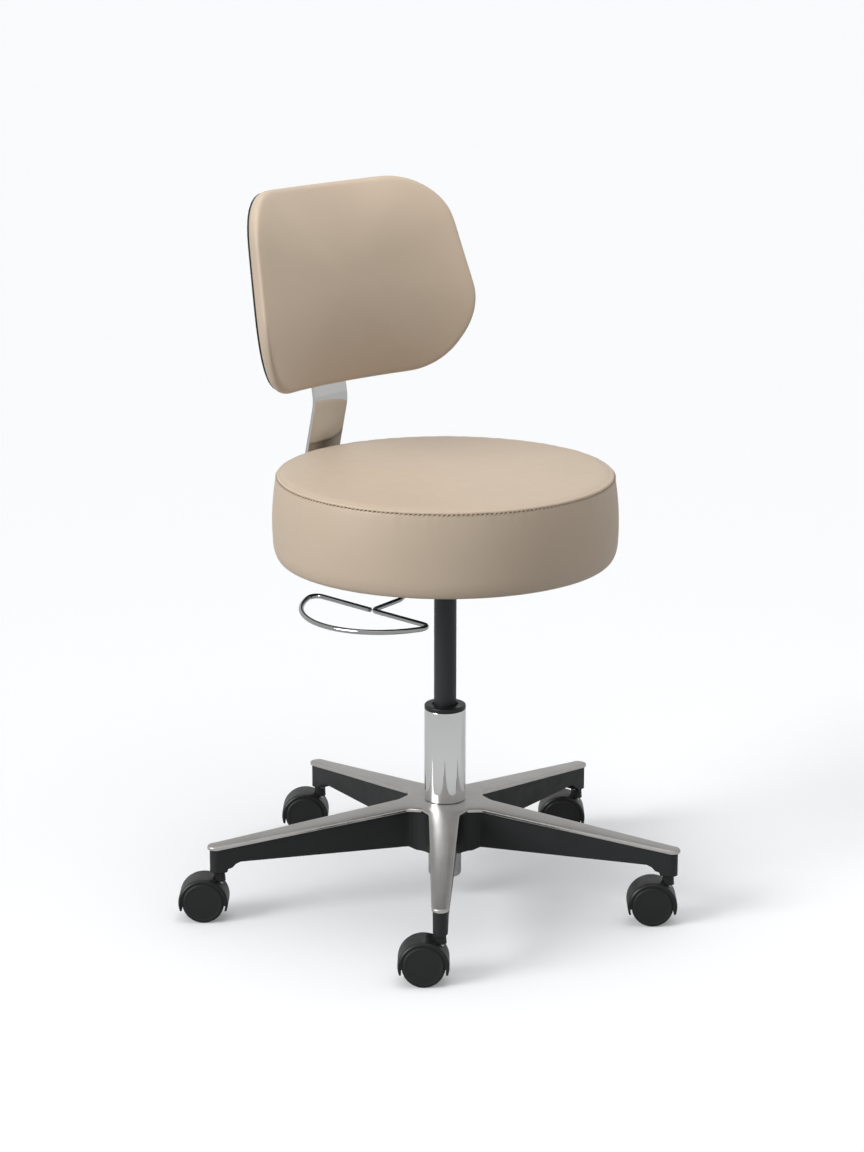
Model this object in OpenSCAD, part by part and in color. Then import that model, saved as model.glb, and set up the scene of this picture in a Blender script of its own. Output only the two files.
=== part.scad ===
// Exam stool with a back: a round padded seat on a gas lift, a padded back on a bent flat bar,
// a release lever bent from rod, and a five-star base on hooded twin-wheel casters.
// Millimetres, +Z up. The origin is on the floor under the column, and the sitter faces -Y.

/* [Seat] */
// Height of the seat's underside above the floor, as stored
seat_z = 428.5; // [415:0.5:445]
// Widest diameter of the seat, part way down its side
seat_d = 411; // [395:1:430]
// Height from the underside to the stitched seam
seat_side_h = 99; // [85:1:110]
// How far the seam sits in from the widest diameter
seam_in = 7.5; // [4:0.5:12]
// Height from the underside to the widest diameter
seat_wide_h = 44; // [36:1:52]
// Rise of the padded top above the seam
seat_crown = 14; // [8:0.5:22]
// Diameter of the flat land in the middle of the top
crown_land_d = 24; // [16:1:40]
// Height of the rounded bottom edge
edge_h = 25; // [16:1:30]
// Width of the rounded bottom edge
edge_w = 10.5; // [8:0.5:16]
// Thickness of the vinyl cover
cover_t = 1.5; // [1:0.1:2.5]
// Width of the cover's turned-under hem
hem_w = 38; // [20:1:50]
// Diameter of the seat board
board_d = 374; // [350:1:380]
// Thickness of the seat board
board_t = 12; // [9:0.5:18]

/* [Back] */
// Height of the back's middle above the floor, as stored
back_z = 731; // [715:1:750]
// Distance of the bar's front face behind the column at that height
back_y = 219.5; // [212:0.5:228]
// Angle by which the back leans
back_lean = 9.2; // [5:0.1:12]
// Widest part of the back
back_w = 346; // [330:1:356]
// Width across the top corners, before they are rounded
back_top_w = 296; // [280:1:308]
// Width across the bottom corners, before they are rounded
back_bottom_w = 257; // [245:1:270]
// Height of the back above its middle
back_up_h = 118.5; // [110:0.5:125]
// Height of the back below its middle
back_down_h = 122; // [116:0.5:126]
// How far below the middle the back is widest
back_wide_drop = 59; // [50:1:62]
// Radius of the back's top and bottom corners
back_corner_r = 70; // [55:1:71]
// Radius of the back's sides where it is widest
back_side_r = 98; // [70:1:100]
// Radius of the back's curve round the sitter
back_curve_r = 239; // [225:1:320]
// Thickness of the back's padding at its edge
pad_t = 35; // [28:0.5:40]
// Further rise of the padding in the middle
pad_crown = 5; // [2:0.5:8]
// Thickness of the board in the back
back_board_t = 6; // [5:0.5:8]
// Thickness of the moulded shell behind the board
shell_t = 3; // [2.5:0.1:4]

/* [Back bar] */
// Width of the flat bar
bar_w = 54; // [44:1:60]
// Thickness of the flat bar
bar_t = 5; // [4:0.1:6]
// Distance behind the column of the bar's lower bend
bar_foot_y = 235.5; // [233:0.5:245]
// Height of the bar's upper bend
bar_bend_z = 588; // [580:1:595]
// Inside radius of the lower bend
bar_foot_r = 20; // [14:1:30]
// Inside radius of the upper bend
bar_bend_r = 45; // [30:1:60]
// Length of the bar up the back, from the back's bottom edge
bar_up_l = 142; // [120:1:160]

/* [Gas lift] */
// Diameter of the chromed stand tube
tube_d = 50; // [48:0.5:54]
// Wall of the stand tube
tube_wall = 2; // [1.5:0.1:3]
// Height of the stand tube's top
tube_top_z = 239; // [232:1:246]
// Height of the stand tube's lower end
tube_low_z = 27.5; // [26:0.5:32]
// Diameter of the stand tube below the hub
neck_d = 40; // [39:0.5:42]
// Height of the collar on the tube
collar_h = 5.5; // [4:0.5:8]
// Length of the guide bush inside the tube
bush_l = 70; // [60:1:80]
// Diameter of the sliding pressure tube
lift_d = 27; // [26:0.5:28]
// Wall of the pressure tube
lift_wall = 2; // [1.8:0.1:2.4]
// Height of the pressure tube's lower end, as stored
lift_low_z = 152; // [152:0.5:156]
// Diameter of the piston rod
rod_d = 10; // [9:0.5:11]
// Height of the top of the piston rod
rod_top_z = 217; // [216:1:225]

/* [Release lever] */
// Diameter of the bent rod
lever_d = 6; // [5:0.5:7]
// Length of the loop's straight side
loop_w = 192; // [160:1:200]
// Depth of the loop from its straight side
loop_depth = 75; // [60:1:80]
// Radius of the loop's two tight corners
loop_corner_r = 10; // [8:0.5:16]
// Distance of the straight side from the column
loop_x = 121; // [112:1:135]
// Height of the straight side, as stored
loop_z = 385; // [380:0.5:388]
// Downward tilt of the loop
loop_tilt = 3.3; // [0:0.1:6]
// Upward slope of the stem towards the column
stem_rise = 5.1; // [3:0.1:6]

/* [Star base] */
// Distance of the caster stems from the column
caster_r = 282; // [265:1:300]
// Turn of the base under the seat
base_turn = 8; // [0:1:71]
// Radius of an arm's rounded tip
tip_r = 10; // [9.5:0.5:12]
// Distance from the caster stem to the centre of the tip
tip_out = 4; // [2:0.5:6]
// Width of an arm at its root
arm_root_w = 37; // [34:0.5:42]
// Distance of that root from the column
arm_root_r = 57; // [52:1:62]
// Radius of the rounded corners between the arms
crotch_r = 22; // [18:1:30]
// Height of the hub's top face
hub_top_z = 124.5; // [118:0.5:130]
// Radius of the hub's flat top
hub_flat_r = 42; // [36:1:48]
// Height of the cap's top at the tips
tip_top_z = 93; // [90:0.5:98]
// Thickness of the cast cap
cap_t = 6; // [4.5:0.5:7]
// Overhang of the cap past the frame at an arm's root
root_lip = 3.4; // [2:0.1:4]
// Overhang of the cap past the frame at the tips
tip_lip = 1.5; // [1:0.1:2]
// Height of the frame's lower edge along the arms
frame_low_z = 72.5; // [71:0.5:76]
// Height of the frame's lower edge at the hub
hub_low_z = 66; // [63:0.5:68]
// Height of the underside of the caster sockets
socket_low_z = 60.5; // [59.5:0.5:62]
// Wall of the frame
frame_wall = 3.2; // [2.5:0.1:4]
// Thickness of the frame's top web
frame_web = 3; // [2:0.1:4]
// Thickness of the ribs under the arms
rib_t = 2.2; // [1.8:0.1:3]

/* [Casters] */
// Diameter of the wheels
wheel_d = 50; // [48:0.5:51]
// Width of one wheel
wheel_w = 15; // [13:0.5:17]
// Thickness of the web between the wheels
web_t = 5; // [4.5:0.5:6]
// Distance of the axle behind the stem
trail = 19; // [17:0.5:20]
// Direction in which the casters trail
caster_turn = 135; // [0:1:359]
// Gap between the wheels and the hood
hood_gap = 2; // [1.5:0.1:2.5]
// Wall of the hood
hood_t = 3; // [2.5:0.1:3.5]
// Height of the hood's lower tips
hood_low_z = 15; // [13:0.5:18]
// Height of the web's lower edge
web_low_z = 20; // [18:0.5:22]
// Diameter of the neck
neck_ring_d = 13.8; // [13:0.1:15.5]
// Diameter of the axle
axle_d = 6; // [5:0.5:7]
// Diameter of the stem in the arm
stem_d = 11; // [10:0.5:11]
// Diameter of the stem in the neck
stem_low_d = 8; // [7:0.5:8.5]

/* [Hidden] */

// Overrun of a cut past the face that it opens
over = 1;
// Running clearance of a shaft in its bore
run = 0.06;
// Gap between pieces that pass each other
gap = 0.3;
// Sides of a true round
round_fn = 96;
arms = 5;
arm_step = 360 / arms;

// Star base
tip_c_r = caster_r + tip_out;
reach_r = tip_c_r + tip_r;
cap_fall = (hub_top_z - tip_top_z) / (reach_r - hub_flat_r);
// Height of the cap's top face at a distance from the column
function cap_z(r) = r <= hub_flat_r ? hub_top_z : hub_top_z - (r - hub_flat_r) * cap_fall;
// Angle of an arm's side to its middle line, tangent to its tip
arm_taper = atan2(arm_root_w / 2 - tip_r, tip_c_r - arm_root_r);
// Radius past which nothing of the base reaches
clear_r = reach_r + tip_r;
hub_taper = 1.2;
tube_seat_r = neck_d / 2 + hub_taper;
hub_ring_wall = 8;
hub_ring_r = tube_seat_r + hub_ring_wall;
hub_skirt_r = 38;
hub_step_h = 2.3;
hub_step_r = 43;
hub_step_w = 3;
hub_slope_r = 53;
socket_block_l = 16;
frame_tip_back = 1.2;
post_in = 7.2;
post_step_in = 9;
post_step_h = 4.1;
bracket_in = 13.5;
bracket_h = 5.1;
bracket_edge_in = 18;
bracket_edge_h = 9.5;
bracket_end_in = 24;
screw_play = 0.06;
stem_in_l = 21.5;
// Stations along an arm where the crossed ribs meet the walls
rib_first_r = 66;
rib_bays = 3;
rib_last_r = caster_r - socket_block_l - rib_t;
function rib_r(i) = rib_first_r + (rib_last_r - rib_first_r) * i / rib_bays;
rib_round = 1.5;
screw_d = 4;
screw_head_d = 8;
screw_head_h = 2.6;
screw_bite = 3.5;

// Gas lift
tube_r = tube_d / 2;
tube_in_r = tube_r - tube_wall;
neck_r = neck_d / 2;
neck_in_r = neck_r - tube_wall;
tube_step_h = 8;
tube_edge = 0.5;
tube_lip_w = 6;
tube_lip_t = 3;
floor_t = 4;
race_t = 1.5;
race_w = 8;
ball_d = 4;
balls = 10;
floor_z = tube_low_z + tube_lip_t;
race_z = floor_z + floor_t;
ball_z = race_z + race_t + ball_d / 2;
ball_slack = 0.05;
upper_race_z = ball_z + ball_d / 2 + ball_slack;
shoulder_z = upper_race_z + race_t;
rod_r = rod_d / 2;
rod_step = 1;
rod_low_r = rod_r - rod_step;
race_in_r = rod_r + gap;
race_out_r = race_in_r + race_w;
ball_ring_r = (race_in_r + race_out_r) / 2;
damper_h = 5;
damper_w = 6;
clip_t = 0.9;
clip_w = 3.4;
clip_slot = 5;
washer_t = 0.9;
clip_gap = 0.1;
groove_deep = 0.7;
washer_z = floor_z - clip_gap - washer_t;
clip_z = washer_z - clip_t;
rod_end_z = clip_z - groove_deep;
lift_r = lift_d / 2;
lift_in_r = lift_r - lift_wall;
lift_lip_t = 2;
lift_lip_w = 5.5;
inner_wall = 1;
inner_gap = 0.5;
inner_out_r = lift_in_r - inner_gap;
inner_in_r = inner_out_r - inner_wall;
guide_h = 18;
spigot_h = 6;
piston_h = 12;
piston_groove = 1.2;
piston_ring_h = 3;
collar_recess = 2.2;
collar_recess_w = 2;
collar_edge = 1;

// Housing of the lever under the seat
plate_t = 3.5;
plate_x = 75;
plate_front = 62;
plate_rear = 104;
plate_corner_r = 12;
wrap_t = cover_t;
board_z = seat_z + wrap_t;
plate_z = board_z - plate_t;
channel_x = 38;
channel_y = 27;
channel_wall = 3;
channel_drop = 38.5;
channel_z = plate_z - channel_drop;
boss_r = 18;
boss_down = 9;
boss_up = 12;
boss_low_z = channel_z - boss_down;
boss_top_z = channel_z + channel_wall + boss_up;
lift_taper = 0.5;
lift_top_z = boss_top_z + lift_lip_t;
lift_top_r = lift_r - lift_taper;
valve_h = 28;
valve_z = lift_top_z - lift_lip_t - valve_h;
valve_blind = 5;
button_r = 4;
button_head_r = 5.5;
button_head_h = 3.5;
button_rise = 6;
button_stem_l = 22;
button_top_z = lift_top_z + button_rise;
nub_r = 3;
pin_z = button_top_z + gap + nub_r;
pin_x = 28;
pin_r = 3;
pin_head_r = 4.8;
pin_head_t = 2;
hub_r = 6.5;
lug_w = 11;
lug_l = 18;
lug_wall = 0.9;
tongue_w = 8;
tongue_t = 4.4;
nub_w = 10;
lever_r = lever_d / 2;
lever_sides = 12;

// Bolts
bolt_d = 8;
bolt_head_d = 14;
bolt_head_h = 5;
bolt_bite = 10;
seat_bolt_x = 60;
bar_start = 3;
bar_bolt_x = 15;
bar_bolt_in = 16;
bar_bolt_step = 36;
bar_z = plate_z - bar_t;
bar_y0 = channel_y + channel_wall + bar_start;
function seat_bolt_at() = [for (x = [-seat_bolt_x, seat_bolt_x])
  for (y = [bolt_head_d - plate_front, plate_rear - bolt_head_d]) [x, y]];
function bar_bolt_at() = [for (x = [-bar_bolt_x, bar_bolt_x])
  for (y = [bar_y0 + bar_bolt_in, bar_y0 + bar_bolt_in + bar_bolt_step]) [x, y]];

// Back
rest_y = 1;
back_screw_x = 15;
back_screw_in = 22;
back_screw_step = 44;
back_screw_d = 6;
back_screw_head_d = 12;
back_screw_head_h = 3;
back_screw_l = 7;
lean_tan = tan(back_lean);
bar_bend_y = back_y - (back_z - bar_bend_z) * lean_tan;
rest_pad_w = bar_w + 6 * shell_t;
// Shares of the back's outline, and of the padding's thickness, at each ring of the pad's side
pad_side_shares = [[0.975, 0], [0.995, 0.14], [1.012, 0.38], [1.012, 0.58],
  [0.995, 0.8], [0.965, 0.94], [0.93, 1]];
// Shares of the outline for the rings of the pad's two faces
face_shares = [0.25, 0.5, 0.74];
// Widest facet along the pad's outline
pad_facet_w = 24;

// Casters
wheel_r = wheel_d / 2;
side_run = 1;
wheel_in_y = web_t / 2 + side_run;
hood_half = wheel_in_y + wheel_w + side_run / 2;
hood_in_r = wheel_r + hood_gap;
hood_out_r = hood_in_r + hood_t;
hood_edge = hood_t - hood_t / 6;
flange_t = 0.9;
stem_flange_z = socket_low_z - flange_t;
neck_top_z = stem_flange_z - gap;
neck_low_z = wheel_r + sqrt(pow(hood_in_r, 2) - pow(trail, 2));
stem_low_z = neck_low_z + gap;
neck_root_z = wheel_r + sqrt(pow(hood_out_r, 2) - pow(trail + neck_ring_d / 2, 2)) - hood_t;
wheel_edge = 3.5;
wheel_face_t = 3;
wheel_rim_t = 3.5;
wheel_hub_r = axle_d / 2 + 3 * side_run;
wheel_back_edge = 0.8;
axle_half = wheel_in_y + wheel_w - wheel_face_t - side_run / 2;
grip_h = 5;
grip_t = 0.6;
grip_z = socket_low_z + stem_in_l / 2;

// Points of an arc in a plane, from angle a to angle b
function arc_pts(cx, cy, r, a, b, n) =
  [for (i = [0:n]) [cx + r * cos(a + (b - a) * i / n), cy + r * sin(a + (b - a) * i / n)]];
function unit(v) = v / norm(v);
// Points that round the corner at q between p and t with radius r
function corner_pts(p, q, t, r, n) =
  let (u = unit(p - q), v = unit(t - q), half = acos(u * v) / 2,
    c = q + unit(u + v) * r / sin(half), s = q + u * r / tan(half) - c, w = q + v * r / tan(half) - c,
    turn = 180 - 2 * half)
  [for (i = [0:n]) c + (s * sin(turn * (1 - i / n)) + w * sin(turn * i / n)) / sin(turn)];
// A closed outline with its corners rounded, each by its own radius
function round_loop(pts, radii, n) = let (m = len(pts))
  [for (i = [0:m - 1]) each corner_pts(pts[(i + m - 1) % m], pts[i], pts[(i + 1) % m], radii[i], n)];
// An open route with its inner corners rounded, each by its own radius
function round_route(pts, radii, n) = let (m = len(pts))
  concat([pts[0]],
    [for (i = [1:m - 2]) each corner_pts(pts[i - 1], pts[i], pts[i + 1], radii[i - 1], n)], [pts[m - 1]]);

// Rings of a round rod along a route, each turned as little as possible from the one before
function rod_tangent(p, i) = unit(p[min(i + 1, len(p) - 1)] - p[max(i - 1, 0)]);
function rod_normals(p, i, v, acc) = i >= len(p) ? acc :
  let (t = rod_tangent(p, i), w = unit(v - (v * t) * t)) rod_normals(p, i + 1, w, concat(acc, [w]));
module bent_rod(p, r, sides, up) {
  n = rod_normals(p, 0, up, []);
  pts = [for (i = [0:len(p) - 1]) let (t = rod_tangent(p, i), b = cross(t, n[i]))
    for (k = [0:sides - 1]) p[i] + r * (n[i] * cos(360 * k / sides) + b * sin(360 * k / sides))];
  rows = len(p);
  faces = concat(
    [[for (k = [sides - 1:-1:0]) k]],
    [for (i = [0:rows - 2]) for (k = [0:sides - 1]) let (k2 = (k + 1) % sides)
      each [[i * sides + k, i * sides + k2, (i + 1) * sides + k2],
        [i * sides + k, (i + 1) * sides + k2, (i + 1) * sides + k]]],
    [[for (k = [0:sides - 1]) (rows - 1) * sides + k]]);
  polyhedron(pts, faces);
}

// Places each copy on its arm, with X along the arm
module on_arms() {
  for (k = [0:arms - 1]) rotate(base_turn + arm_step * k) children();
}
// Places a caster piece with X the way the wheels trail, Y along the axle
module at_caster(k) {
  rotate(base_turn + arm_step * (k - 1)) translate([caster_r, 0, 0])
    rotate(caster_turn - base_turn - arm_step * (k - 1)) children();
}

// Plan of a star, with its tapered arms and rounded crotches
module star_plan(root_in, tip_in, tip_back) {
  half = arm_root_w / 2 - root_in;
  end_r = tip_r - tip_in;
  end_c = tip_c_r - tip_back;
  taper = asin((half - end_r) / (end_c - arm_root_r));
  offset(r = -crotch_r - root_in) offset(r = crotch_r + root_in, $fn = 72) union() {
    circle(r = hub_flat_r - root_in, $fn = 72);
    on_arms() {
      translate([end_c, 0]) circle(r = end_r, $fn = 48);
      for (side = [0, 1]) mirror([0, side]) polygon([[0, -end_r / 2], [0, half],
        [arm_root_r, half], [end_c, 0] + end_r * [sin(taper), cos(taper)], [end_c, -end_r / 2]]);
    }
  }
}
module frame_plan() { star_plan(root_lip, tip_lip, frame_tip_back); }

module hub_bore() {
  hub_h = hub_top_z - hub_low_z;
  translate([0, 0, hub_low_z]) cylinder(h = hub_h, r1 = neck_r, r2 = tube_seat_r, $fn = round_fn);
  translate([0, 0, hub_low_z - over]) cylinder(h = 2 * over, r = neck_r, $fn = round_fn);
  translate([0, 0, hub_top_z - over / 2]) cylinder(h = over, r = tube_seat_r, $fn = round_fn);
}

// Screws that hold the cap, at the rib stations, turned with each arm
module at_screws() {
  on_arms() for (i = [1:rib_bays - 1]) translate([rib_r(i), 0, cap_z(rib_r(i)) - cap_t]) children();
}

module star_top() {
  color("silver") difference() {
    intersection() {
      linear_extrude(height = hub_top_z + over) star_plan(0, 0, 0);
      rotate_extrude($fn = round_fn) polygon([
        [0, hub_top_z - cap_t], [hub_flat_r, hub_top_z - cap_t], [clear_r, cap_z(clear_r) - cap_t],
        [clear_r, cap_z(clear_r)], [hub_flat_r, hub_top_z], [0, hub_top_z]]);
    }
    hub_bore();
    at_screws() translate([0, 0, -over]) cylinder(h = screw_bite + over, d = screw_d, $fn = 24);
  }
}

// Openings between the ribs, seen from below
module rib_pockets_plan() {
  offset(r = rib_round, $fn = 8) offset(delta = -rib_round) difference() {
    offset(delta = -frame_wall) frame_plan();
    circle(r = hub_ring_r, $fn = 48);
    on_arms() {
      translate([rib_last_r, -arm_root_w / 2]) square([clear_r - rib_last_r, arm_root_w]);
      for (i = [0:rib_bays - 1]) for (side = [-1, 1])
        rib([rib_r(i), side * arm_half(rib_r(i))], [rib_r(i + 1), -side * arm_half(rib_r(i + 1))]);
    }
  }
}
// Half of an arm's width at a distance from the column
function arm_half(r) = arm_root_w / 2 - (r - arm_root_r) * tan(arm_taper);
// Plan of a straight rib from p to q
module rib(p, q) {
  d = q - p;
  translate(p) rotate(atan2(d[1], d[0])) translate([0, -rib_t / 2]) square([norm(d), rib_t]);
}

module star_frame() {
  color([0.13, 0.13, 0.14]) difference() {
    intersection() {
      linear_extrude(height = hub_top_z) frame_plan();
      rotate_extrude($fn = round_fn) polygon([
        [0, hub_low_z], [hub_skirt_r, hub_low_z], [hub_step_r, hub_low_z + hub_step_h],
        [hub_step_r + hub_step_w, hub_low_z + hub_step_h], [hub_slope_r, frame_low_z],
        [caster_r - bracket_end_in, frame_low_z], [caster_r - bracket_edge_in, socket_low_z + bracket_edge_h],
        [caster_r - bracket_in, socket_low_z + bracket_h],
        [caster_r - post_step_in, socket_low_z + post_step_h], [caster_r - post_in, socket_low_z],
        [clear_r, socket_low_z], [clear_r, cap_z(clear_r) - cap_t],
        [hub_flat_r, hub_top_z - cap_t], [0, hub_top_z - cap_t]]);
    }
    intersection() {
      linear_extrude(height = hub_top_z) rib_pockets_plan();
      rotate_extrude($fn = round_fn) polygon([
        [0, 0], [clear_r, 0], [clear_r, cap_z(clear_r) - cap_t - frame_web],
        [hub_flat_r, hub_top_z - cap_t - frame_web], [0, hub_top_z - cap_t - frame_web]]);
    }
    hub_bore();
    at_screws() translate([0, 0, -frame_web - over])
      cylinder(h = frame_web + 2 * over, d = screw_d, $fn = 24);
    for (k = [1:arms]) at_caster(k) translate([0, 0, socket_low_z - over])
      cylinder(h = stem_in_l + over, d = stem_d, $fn = 48);
  }
}

module star_screws() {
  color("dimgray") at_screws() {
    head_top = -frame_web - cap_fall * screw_head_d / 2;
    translate([0, 0, head_top])
      cylinder(h = screw_bite - gap - head_top, d = screw_d - 2 * screw_play, $fn = 24);
    translate([0, 0, head_top - screw_head_h]) cylinder(h = screw_head_h, d = screw_head_d, $fn = 32);
  }
}

module stand_tube() {
  color("gainsboro") rotate_extrude($fn = round_fn) polygon(concat(
    [[neck_r - tube_lip_w, tube_low_z]],
    arc_pts(neck_r - tube_lip_t, tube_low_z + tube_lip_t, tube_lip_t, -90, 0, 6),
    [[neck_r, hub_low_z], [tube_seat_r, hub_top_z], [tube_r - tube_edge, hub_top_z],
      [tube_r, hub_top_z + tube_edge], [tube_r, tube_top_z - tube_edge], [tube_r - tube_edge, tube_top_z],
      [tube_in_r, tube_top_z], [tube_in_r, hub_top_z + tube_step_h], [neck_in_r, hub_top_z],
      [neck_in_r, floor_z], [neck_r - tube_lip_w, floor_z]]));
}

module guide_bush() {
  bore_r = lift_r + run;
  recess_r = lift_r + collar_recess_w;
  color([0.1, 0.1, 0.11]) rotate_extrude($fn = round_fn) polygon([
    [bore_r, tube_top_z - bush_l], [tube_in_r, tube_top_z - bush_l], [tube_in_r, tube_top_z],
    [tube_r, tube_top_z], [tube_r, tube_top_z + collar_h - collar_edge],
    [tube_r - collar_edge, tube_top_z + collar_h], [recess_r, tube_top_z + collar_h],
    [recess_r, tube_top_z + collar_h - collar_recess], [bore_r, tube_top_z + collar_h - collar_recess]]);
}

module ring(z, h, r_in, r_out) {
  translate([0, 0, z]) difference() {
    cylinder(h = h, r = r_out, $fn = 64);
    translate([0, 0, -over]) cylinder(h = h + 2 * over, r = r_in, $fn = 64);
  }
}

module tube_floor() { color("gray") ring(floor_z, floor_t, rod_low_r + run, neck_in_r); }
module lower_race() { color("lightgray") ring(race_z, race_t, race_in_r, race_out_r); }
module upper_race() { color("lightgray") ring(upper_race_z, race_t, rod_low_r, race_out_r); }
module rod_washer() { color("lightgray") ring(washer_z, washer_t, rod_low_r, race_out_r); }
module rod_damper() { color([0.08, 0.08, 0.08]) ring(shoulder_z, damper_h, rod_r, rod_r + damper_w); }

module bearing_balls() {
  color("white") for (k = [0:balls - 1]) rotate(360 * k / balls)
    translate([ball_ring_r, 0, ball_z]) sphere(d = ball_d, $fn = 24);
}

module rod_clip() {
  groove_r = rod_low_r - groove_deep;
  color("dimgray") difference() {
    ring(clip_z, clip_t, groove_r, groove_r + clip_w);
    translate([0, -clip_slot / 2, clip_z - over]) cube([rod_r + clip_w, clip_slot, clip_t + 2 * over]);
  }
}

module piston_rod() {
  groove_r = rod_low_r - groove_deep;
  color("lightgray") rotate_extrude($fn = 64) polygon([
    [0, rod_end_z], [rod_low_r, rod_end_z], [rod_low_r, clip_z], [groove_r, clip_z],
    [groove_r, washer_z], [rod_low_r, washer_z], [rod_low_r, shoulder_z], [rod_r, shoulder_z],
    [rod_r, rod_top_z], [0, rod_top_z]]);
}

module piston() {
  out_r = inner_in_r - run;
  low = rod_top_z - piston_h;
  ring_low = low + (piston_h - piston_ring_h) / 2;
  ring_top = ring_low + piston_ring_h;
  color("gold") rotate_extrude($fn = 64) polygon([
    [rod_r, low], [out_r, low], [out_r, ring_low], [out_r - piston_groove, ring_low],
    [out_r - piston_groove, ring_top], [out_r, ring_top], [out_r, rod_top_z], [rod_r, rod_top_z]]);
}

module pressure_tube() {
  color([0.16, 0.17, 0.18]) rotate_extrude($fn = round_fn) polygon([
    [lift_in_r - lift_lip_w, lift_low_z], [lift_r, lift_low_z], [lift_r, boss_low_z],
    [lift_top_r, boss_top_z], [lift_top_r, lift_top_z], [lift_in_r - lift_lip_w / 2, lift_top_z],
    [lift_in_r - lift_lip_w / 2, lift_top_z - lift_lip_t], [lift_in_r, lift_top_z - lift_lip_t],
    [lift_in_r, lift_low_z + lift_lip_t], [lift_in_r - lift_lip_w, lift_low_z + lift_lip_t]]);
}

module rod_guide() {
  z = lift_low_z + lift_lip_t;
  color("beige") rotate_extrude($fn = 64) polygon([
    [rod_r + run, z], [lift_in_r, z], [lift_in_r, z + guide_h], [inner_in_r, z + guide_h],
    [inner_in_r, z + guide_h + spigot_h], [rod_r + run, z + guide_h + spigot_h]]);
}

module inner_tube() {
  z = lift_low_z + lift_lip_t + guide_h;
  color("lightgray") ring(z, valve_z - z, inner_in_r, inner_out_r);
}

module valve_body() {
  top = lift_top_z - lift_lip_t;
  color("beige") rotate_extrude($fn = 64) polygon([
    [0, valve_z - spigot_h], [inner_in_r, valve_z - spigot_h], [inner_in_r, valve_z], [lift_in_r, valve_z],
    [lift_in_r, top], [button_r + run, top], [button_r + run, valve_z - spigot_h + valve_blind],
    [0, valve_z - spigot_h + valve_blind]]);
}

module release_button() {
  color("tomato") rotate_extrude($fn = 48) polygon([
    [0, button_top_z - button_stem_l], [button_r, button_top_z - button_stem_l],
    [button_r, button_top_z - button_head_h], [button_head_r, button_top_z - button_head_h],
    [button_head_r, button_top_z], [0, button_top_z]]);
}

module lift_housing() {
  color([0.15, 0.15, 0.16]) difference() {
    union() {
      translate([0, 0, plate_z]) linear_extrude(height = plate_t) difference() {
        hull() for (x = [-1, 1]) for (y = [plate_corner_r - plate_front, plate_rear - plate_corner_r])
          translate([x * (plate_x - plate_corner_r), y]) circle(r = plate_corner_r, $fn = 32);
        for (b = concat(seat_bolt_at(), bar_bolt_at())) translate(b) circle(d = bolt_d, $fn = 32);
      }
      for (side = [0, 1]) mirror([0, side, 0]) translate([-channel_x, channel_y, channel_z])
        cube([2 * channel_x, channel_wall, channel_drop]);
      translate([-channel_x, -channel_y, channel_z]) cube([2 * channel_x, 2 * channel_y, channel_wall]);
      translate([0, 0, boss_low_z]) cylinder(h = boss_top_z - boss_low_z, r = boss_r, $fn = round_fn);
    }
    translate([0, 0, boss_low_z])
      cylinder(h = boss_top_z - boss_low_z, r1 = lift_r, r2 = lift_top_r, $fn = round_fn);
    translate([0, 0, boss_low_z - over]) cylinder(h = 2 * over, r = lift_r, $fn = round_fn);
    translate([0, 0, boss_top_z - over / 2]) cylinder(h = over, r = lift_top_r, $fn = round_fn);
    translate([-pin_x, 0, pin_z]) rotate([90, 0, 0])
      cylinder(h = 2 * (channel_y + channel_wall + over), r = pin_r, center = true, $fn = 32);
  }
}

module lever_pin() {
  half = channel_y + channel_wall;
  color("silver") translate([-pin_x, 0, pin_z]) rotate([90, 0, 0]) {
    translate([0, 0, -half]) cylinder(h = 2 * half + pin_head_t, r = pin_r, $fn = 32);
    translate([0, 0, half]) cylinder(h = pin_head_t, r = pin_head_r, $fn = 32);
  }
}

module lever_hub() {
  half = channel_y - side_run;
  color("gray") translate([-pin_x, 0, pin_z]) difference() {
    union() {
      rotate([90, 0, 0]) cylinder(h = 2 * half, r = hub_r, center = true, $fn = 48);
      translate([-lug_l, -lug_w / 2, -lug_w / 2]) cube([lug_l, lug_w, lug_w]);
      translate([0, -tongue_w / 2, -tongue_t / 2]) cube([pin_x, tongue_w, tongue_t]);
      translate([pin_x, 0, 0]) rotate([90, 0, 0]) cylinder(h = nub_w, r = nub_r, center = true, $fn = 32);
    }
    rotate([90, 0, 0]) cylinder(h = 2 * (half + over), r = pin_r + run, center = true, $fn = 48);
    translate([-lug_l - over, 0, 0]) rotate([0, 90, 0])
      cylinder(h = lug_l + over - pin_r - lug_wall, r = lever_r, $fn = 32);
  }
}

// Route of the bent rod: from the lug out along the stem, round the loop and back to the bend
loop_bend_r = 8;
stem_bend_r = 14;
stem_drop_x = 54;
stem_level_x = 72;
weld_gap = 0.15;
function loop_at(s, d) = [-loop_x - d * cos(loop_tilt), -s, loop_z - d * sin(loop_tilt)];
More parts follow.
